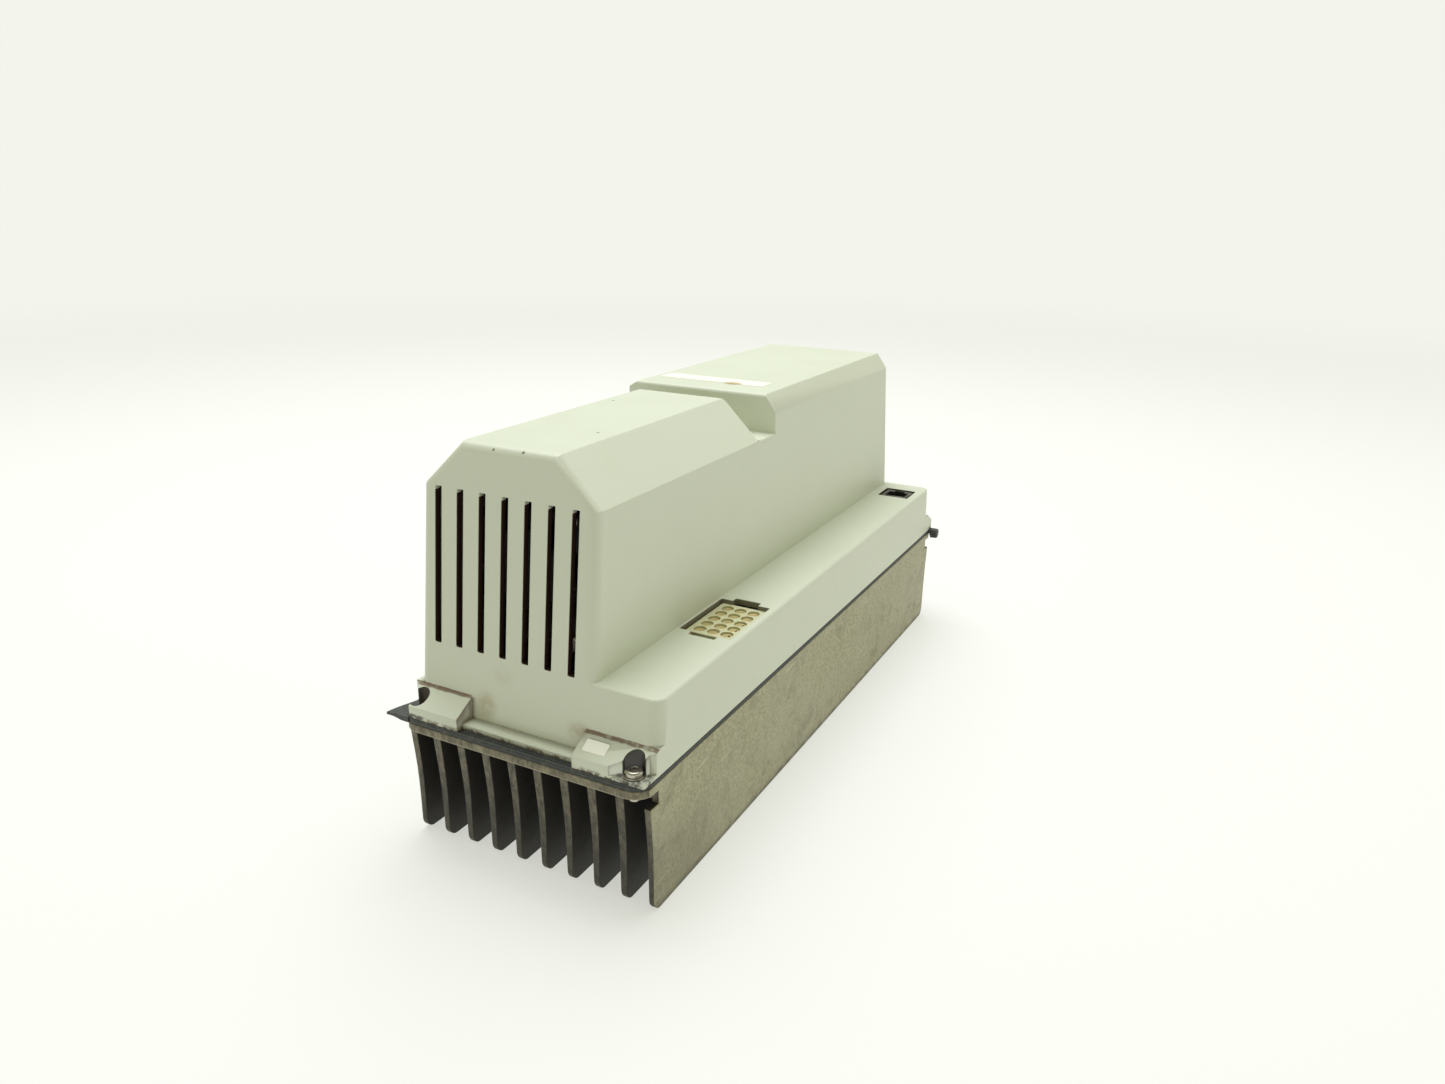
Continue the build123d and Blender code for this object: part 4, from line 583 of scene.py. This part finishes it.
def loft(form, loops, closed):
    """Skin a list of point loops of equal length; if closed, the last joins the first."""
    rows = [[form.verts.new(point) for point in loop] for loop in loops]
    pairs = list(zip(rows, rows[1:]))
    if closed:
        pairs.append((rows[-1], rows[0]))
    for low, high in pairs:
        for k in range(len(low)):
            n = (k + 1) % len(low)
            form.faces.new((low[k], low[n], high[n], high[k]))
    return rows


RIB_COUNT = 3
RIB_DEPTH = 0.70 * MM
RIB_PITCH = 1.25 * MM
FLANGE_R = 8.0 * MM
SIDE_BAND = 7.0 * MM
END_BAND = 14.0 * MM
INNER_R = 3.0 * MM
RIB_START = 0.35 * MM         # from the flange's edge in to the first rib
RIB_PROFILE = ((0.0, 0.12), (0.25, 0.0), (0.5, 0.15), (0.7, 1.0), (0.85, 1.0))   # run, depth
FACE_STEPS = 8
FACE_DEPTH = 0.30 * MM        # of the two grooves round the outer face
FLAP_LENGTH = 46.0 * MM
FLAP_KNEE = 0.28              # share of the flap's length where its outline turns
FLAP_ROOT = 4.0 * MM          # how far it runs back under the hood
FLAP_ROWS = 28
FLAP_COLUMNS = 12


def gasket_frame(form):
    """The frame: ribs run round its outer face and along its exposed top."""
    height = SEAT - FLANGE_TOP
    loops = []

    def add_ring(inset, z):
        ring = ring_points(SIDE - inset, END - inset, FLANGE_R - inset)
        loops.append([(x, y, z) for x, y in ring])

    for k in range(1, FACE_STEPS):
        share = k / FACE_STEPS
        groove = FACE_DEPTH * math.sin(2 * math.pi * share) ** 2
        add_ring(groove + 0.03 * MM, FLANGE_TOP + share * height)
    for rib in range(RIB_COUNT):
        start = RIB_START + rib * RIB_PITCH
        for share, depth in RIB_PROFILE:
            add_ring(start + share * RIB_PITCH, SEAT - depth * RIB_DEPTH)
    add_ring(RIB_START + RIB_COUNT * RIB_PITCH, SEAT)
    inner = ring_points(SIDE - SIDE_BAND, END - END_BAND, INNER_R)
    loops.append([(x, y, SEAT) for x, y in inner])
    loops.append([(x, y, FLANGE_TOP) for x, y in inner])
    add_ring(0.25 * MM, FLANGE_TOP)
    loft(form, loops, closed=True)


def gasket_flap(form):
    """The pointed front end: thins and curls down towards its tip, ribbed along its length."""
    reach = -SIDE - RUBBER_LOW.x
    root = -SIDE + FLAP_ROOT
    front = -END + 0.6 * MM
    rows, columns = FLAP_ROWS, FLAP_COLUMNS
    top = []
    bottom = []
    for i in range(rows + 1):
        along = i / rows
        y = front + along * FLAP_LENGTH
        if along < FLAP_KNEE:
            out = reach * (1 - 0.5 * along / FLAP_KNEE)
        else:
            out = reach * 0.5 * (1 - (along - FLAP_KNEE) / (1 - FLAP_KNEE))
        upper = []
        lower = []
        for j in range(columns + 1):
            across = j / columns
            x = root + across * (-SIDE - out - root)
            past = max(0.0, (-SIDE - x) / reach)
            rib = 0.5 * RIB_DEPTH * math.sin(2 * math.pi * (x + 0.18 * y) / RIB_PITCH / 1.3) ** 2
            curl = 0.9 * MM * past ** 2 * (1 - along) ** 2
            sway = 0.25 * MM * math.sin(9 * along + 1.0) * past
            thin = (SEAT - FLANGE_TOP) * (1 - 0.55 * past)
            z = SEAT - 0.15 * MM - rib - curl + sway
            wavy_y = y + 0.5 * MM * past * math.sin(3 * across)
            upper.append(form.verts.new((x, wavy_y, z)))
            lower.append(form.verts.new((x, wavy_y, z - thin + rib)))
        top.append(upper)
        bottom.append(lower)
    for i in range(rows):
        for j in range(columns):
            form.faces.new((top[i][j], top[i][j + 1], top[i + 1][j + 1], top[i + 1][j]))
            form.faces.new((bottom[i][j], bottom[i + 1][j], bottom[i + 1][j + 1], bottom[i][j + 1]))
    for i in range(rows):
        form.faces.new((top[i][columns], bottom[i][columns], bottom[i + 1][columns], top[i + 1][columns]))
        form.faces.new((top[i][0], top[i + 1][0], bottom[i + 1][0], bottom[i][0]))
    for j in range(columns):
        form.faces.new((top[0][j], bottom[0][j], bottom[0][j + 1], top[0][j + 1]))
        form.faces.new((top[rows][j], top[rows][j + 1], bottom[rows][j + 1], bottom[rows][j]))


def gasket_tab(form):
    """The torn rear end: a lump that hangs over the flange's edge."""
    low = Vector((SIDE - 3.0 * MM, END - 5.6 * MM, RUBBER_LOW.z + 0.15 * MM))
    high = Vector((RUBBER_HIGH.x - 0.15 * MM, END - 0.75 * MM, SEAT - 0.1 * MM))
    size = high - low
    middle = Vector((0.5, 0.5, 0.5))
    bmesh.ops.create_cube(form, size=1.0)
    bmesh.ops.subdivide_edges(form, edges=form.edges[:], cuts=9, use_grid_fill=True)
    for v in form.verts:
        rounded = v.co.normalized() * 0.5
        blend = 0.22 * max(0.0, v.co.length - 0.5) / 0.37
        unit = v.co.lerp(rounded, blend) + middle
        if unit.x < 0.42:         # the end on the flange stays in the upper half
            unit.z = 0.52 + 0.48 * unit.z
        rough = 0.12 * MM * min(1.0, 2 * unit.x)
        place = Vector(low[k] + unit[k] * size[k] for k in range(3))
        v.co = place + rough * noise.noise_vector(place / (1.5 * MM))


def ribbed_gasket():
    """The frame and its pointed front end, in one mesh."""
    form = bmesh.new()
    gasket_frame(form)
    gasket_flap(form)
    bmesh.ops.recalc_face_normals(form, faces=form.faces)
    add_piece("ribbed_gasket", form, "gasket", "grey_rubber")


def torn_tab():
    """The torn rear end, as a piece of its own."""
    form = bmesh.new()
    gasket_tab(form)
    add_piece("torn_gasket_end", form, "gasket", "grey_rubber")


def sticker(node, name, radius):
    """A thin, slightly wavy slab with rounded corners, centred on its CAD slab."""
    corners = [Vector(v.co) for v in nodes[node].data.vertices]
    middle = sum(corners, Vector()) / len(corners)
    low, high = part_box(node)
    rise = high.z - low.z
    run = high.y - low.y
    tilt = math.atan2(rise, run) if rise > 1 * MM else 0.0
    half_x = (high.x - low.x) / 2
    half_y = run / 2 / math.cos(tilt)
    form = bmesh.new()

    def ring(inset, base):
        points = []
        for x, y in ring_points(half_x - inset, half_y - inset, max(radius - inset, 0.1 * MM)):
            ripple = 0.015 * MM * noise.noise(Vector((x, y, 0.0)) / (5 * MM))
            points.append((x, y, base + ripple))
        return points

    loops = [ring(0.03 * MM, -0.05 * MM), ring(0.0, 0.0), ring(0.03 * MM, 0.045 * MM)]
    loops += [ring(share * half_y, 0.06 * MM) for share in (0.12, 0.3, 0.5, 0.7, 0.9)]
    rows = loft(form, loops, closed=False)
    form.faces.new(rows[-1])
    form.faces.new(list(reversed(rows[0])))
    bmesh.ops.recalc_face_normals(form, faces=form.faces)
    place = Matrix.Translation(middle) @ Matrix.Rotation(tilt, 4, "X")
    bmesh.ops.transform(form, matrix=place, verts=form.verts)
    add_piece(name, form, node, "white_paper")


def islands(mesh):
    """The separate lumps of a mesh, each as a list of its points."""
    form = bmesh.new()
    form.from_mesh(mesh)
    bmesh.ops.remove_doubles(form, verts=form.verts, dist=WELD)
    seen = set()
    lumps = []
    for start in form.verts:
        if start in seen:
            continue
        seen.add(start)
        stack = [start]
        lump = []
        while stack:
            vertex = stack.pop()
            lump.append(vertex.co.copy())
            for edge in vertex.link_edges:
                other = edge.other_vert(vertex)
                if other not in seen:
                    seen.add(other)
                    stack.append(other)
        lumps.append(lump)
    form.free()
    return lumps


DISH = ((1.0, 0.25), (0.93, 0.0), (0.80, 0.10), (0.45, 0.28), (0.12, 0.34))   # radius, mm down
DISH_STEPS = 32


def dished_contacts():
    """Each way of the power socket: a dished disc that fills its well, as worn contacts look."""
    form = bmesh.new()
    for lump in islands(nodes["power_contacts"].data):
        low = Vector(min(p[k] for p in lump) for k in range(3))
        high = Vector(max(p[k] for p in lump) for k in range(3))
        middle = (low + high) / 2
        radius = (high.x - low.x) / 2
        levels = [(0.96, low.z)] + [(share, high.z - down * MM) for share, down in DISH]
        loops = []
        for share, z in levels:
            loop = []
            for k in range(DISH_STEPS):
                angle = 2 * math.pi * k / DISH_STEPS
                x = middle.x + share * radius * math.cos(angle)
                y = middle.y + share * radius * math.sin(angle)
                loop.append((x, y, z))
            loops.append(loop)
        rows = loft(form, loops, closed=False)
        form.faces.new(rows[-1])
        form.faces.new(list(reversed(rows[0])))
    bmesh.ops.recalc_face_normals(form, faces=form.faces)
    add_piece("dished_contacts", form, "power_contacts", "tinned_brass")


softened("cover", "cover_shell", "hood_plastic", 0.35 * MM, above=FEET_TOP)
dished_contacts()
softened("heatsink", "finned_heatsink", "raw_aluminium", 0.35 * MM)
softened("power_socket", "power_socket_body", "cream_nylon", 0.15 * MM)
softened("service_jack", "service_jack_body", "black_plastic", 0.2 * MM)
softened("cover_screws", "button_screws", "plated_steel", 0.12 * MM)
softened("cover_washers", "plain_washers", "plated_steel", 0.08 * MM)
softened("fan_frame", "fan_housing", "fan_plastic", 0.25 * MM)
ribbed_gasket()
torn_tab()
sticker("roof_label", "blank_roof_sticker", 1.0 * MM)
sticker("foot_label", "blank_foot_sticker", 0.6 * MM)


# ---------------------------------------------------------------- camera, floor and light

TARGET = Vector((9.2, -23.5, 97.7)) * MM
DISTANCE = 500 * MM
AZIMUTH = math.radians(27.198)
ELEVATION = math.radians(18.745)
ROLL = math.radians(0.956)
LENS = 25.55                  # millimetres
SENSOR_WIDTH = 36.0           # millimetres

BACKDROP_TONE = (0.896, 0.904, 0.839)
FLOOR_TONE = (0.38, 0.38, 0.385)
FLOOR_GLOW = 0.62
FILL_TONE = (1.0, 1.0, 0.72)
FILL_STRENGTH = 0.42
FLOOR_R = 30.0
FADE = (0.6, 2.5)             # distances between which the floor turns into the backdrop


def add_camera():
    data = bpy.data.cameras.new("camera")
    data.lens = LENS
    data.sensor_width = SENSOR_WIDTH
    data.clip_start = 0.01
    data.clip_end = 50.0
    camera = bpy.data.objects.new("camera", data)
    bpy.context.scene.collection.objects.link(camera)
    away = Vector((
        math.sin(AZIMUTH) * math.cos(ELEVATION),
        -math.cos(AZIMUTH) * math.cos(ELEVATION),
        math.sin(ELEVATION),
    ))
    aim = away.to_track_quat("Z", "Y").to_matrix().to_4x4()
    camera.matrix_world = (
        Matrix.Translation(TARGET + DISTANCE * away) @ aim @ Matrix.Rotation(ROLL, 4, "Z")
    )
    bpy.context.scene.camera = camera


def add_floor():
    """A wide pale floor that fades into the backdrop's tone far away."""
    mesh = bpy.data.meshes.new("floor")
    form = bmesh.new()
    bmesh.ops.create_circle(form, cap_ends=True, segments=96, radius=FLOOR_R)
    form.to_mesh(mesh)
    form.free()
    floor = bpy.data.objects.new("floor", mesh)
    bpy.context.scene.collection.objects.link(floor)
    s = Shader("floor")
    tone = s.mix(s.noise(0.5, detail=4), FLOOR_TONE, tuple(0.985 * c for c in FLOOR_TONE))
    s.finish(
        Base_Color=tone, Roughness=0.9, Specular_IOR_Level=0.1,
        Emission_Color=BACKDROP_TONE, Emission_Strength=FLOOR_GLOW,
    )
    glow = s.tree.nodes.new("ShaderNodeEmission")
    s.link(BACKDROP_TONE, glow.inputs["Color"])
    blend = s.tree.nodes.new("ShaderNodeMixShader")
    length = s.tree.nodes.new("ShaderNodeVectorMath")
    length.operation = "LENGTH"
    s.link(s.place, length.inputs[0])
    s.link(s.ramp(length.outputs["Value"], *FADE), blend.inputs[0])
    s.link(s.surface.outputs[0], blend.inputs[1])
    s.link(glow.outputs[0], blend.inputs[2])
    s.link(blend.outputs[0], s.tree.nodes["Material Output"].inputs["Surface"])
    mesh.materials.append(s.material)


def add_light(name, place, size, power, tone):
    """A square soft box that faces the middle of the drive."""
    data = bpy.data.lights.new(name, "AREA")
    data.shape = "SQUARE"
    data.size = size
    data.energy = power
    data.color = tone
    light = bpy.data.objects.new(name, data)
    bpy.context.scene.collection.objects.link(light)
    middle = Vector((0.0, 0.0, ROOF / 2))
    light.location = place
    light.rotation_euler = (Vector(place) - middle).to_track_quat("Z", "Y").to_euler()


def add_world():
    """Even fill from all round, with the backdrop's own tone where the view meets it."""
    world = bpy.data.worlds.new("studio")
    bpy.context.scene.world = world
    world.use_nodes = True
    tree = world.node_tree
    fill = tree.nodes["Background"]
    fill.inputs["Color"].default_value = (*FILL_TONE, 1.0)
    fill.inputs["Strength"].default_value = FILL_STRENGTH
    seen = tree.nodes.new("ShaderNodeBackground")
    seen.inputs["Color"].default_value = (*BACKDROP_TONE, 1.0)
    path = tree.nodes.new("ShaderNodeLightPath")
    blend = tree.nodes.new("ShaderNodeMixShader")
    tree.links.new(path.outputs["Is Camera Ray"], blend.inputs[0])
    tree.links.new(fill.outputs[0], blend.inputs[1])
    tree.links.new(seen.outputs[0], blend.inputs[2])
    tree.links.new(blend.outputs[0], tree.nodes["World Output"].inputs["Surface"])


add_camera()
add_floor()
add_world()
add_light("overhead", place=(-0.33, 0.30, 1.65), size=1.4, power=29.0, tone=(0.97, 1.0, 1.04))
add_light("right_wall", place=(1.6, 1.0, 0.7), size=1.4, power=3.2, tone=(1.0, 1.0, 0.92))
bpy.context.scene.view_settings.view_transform = "Standard"
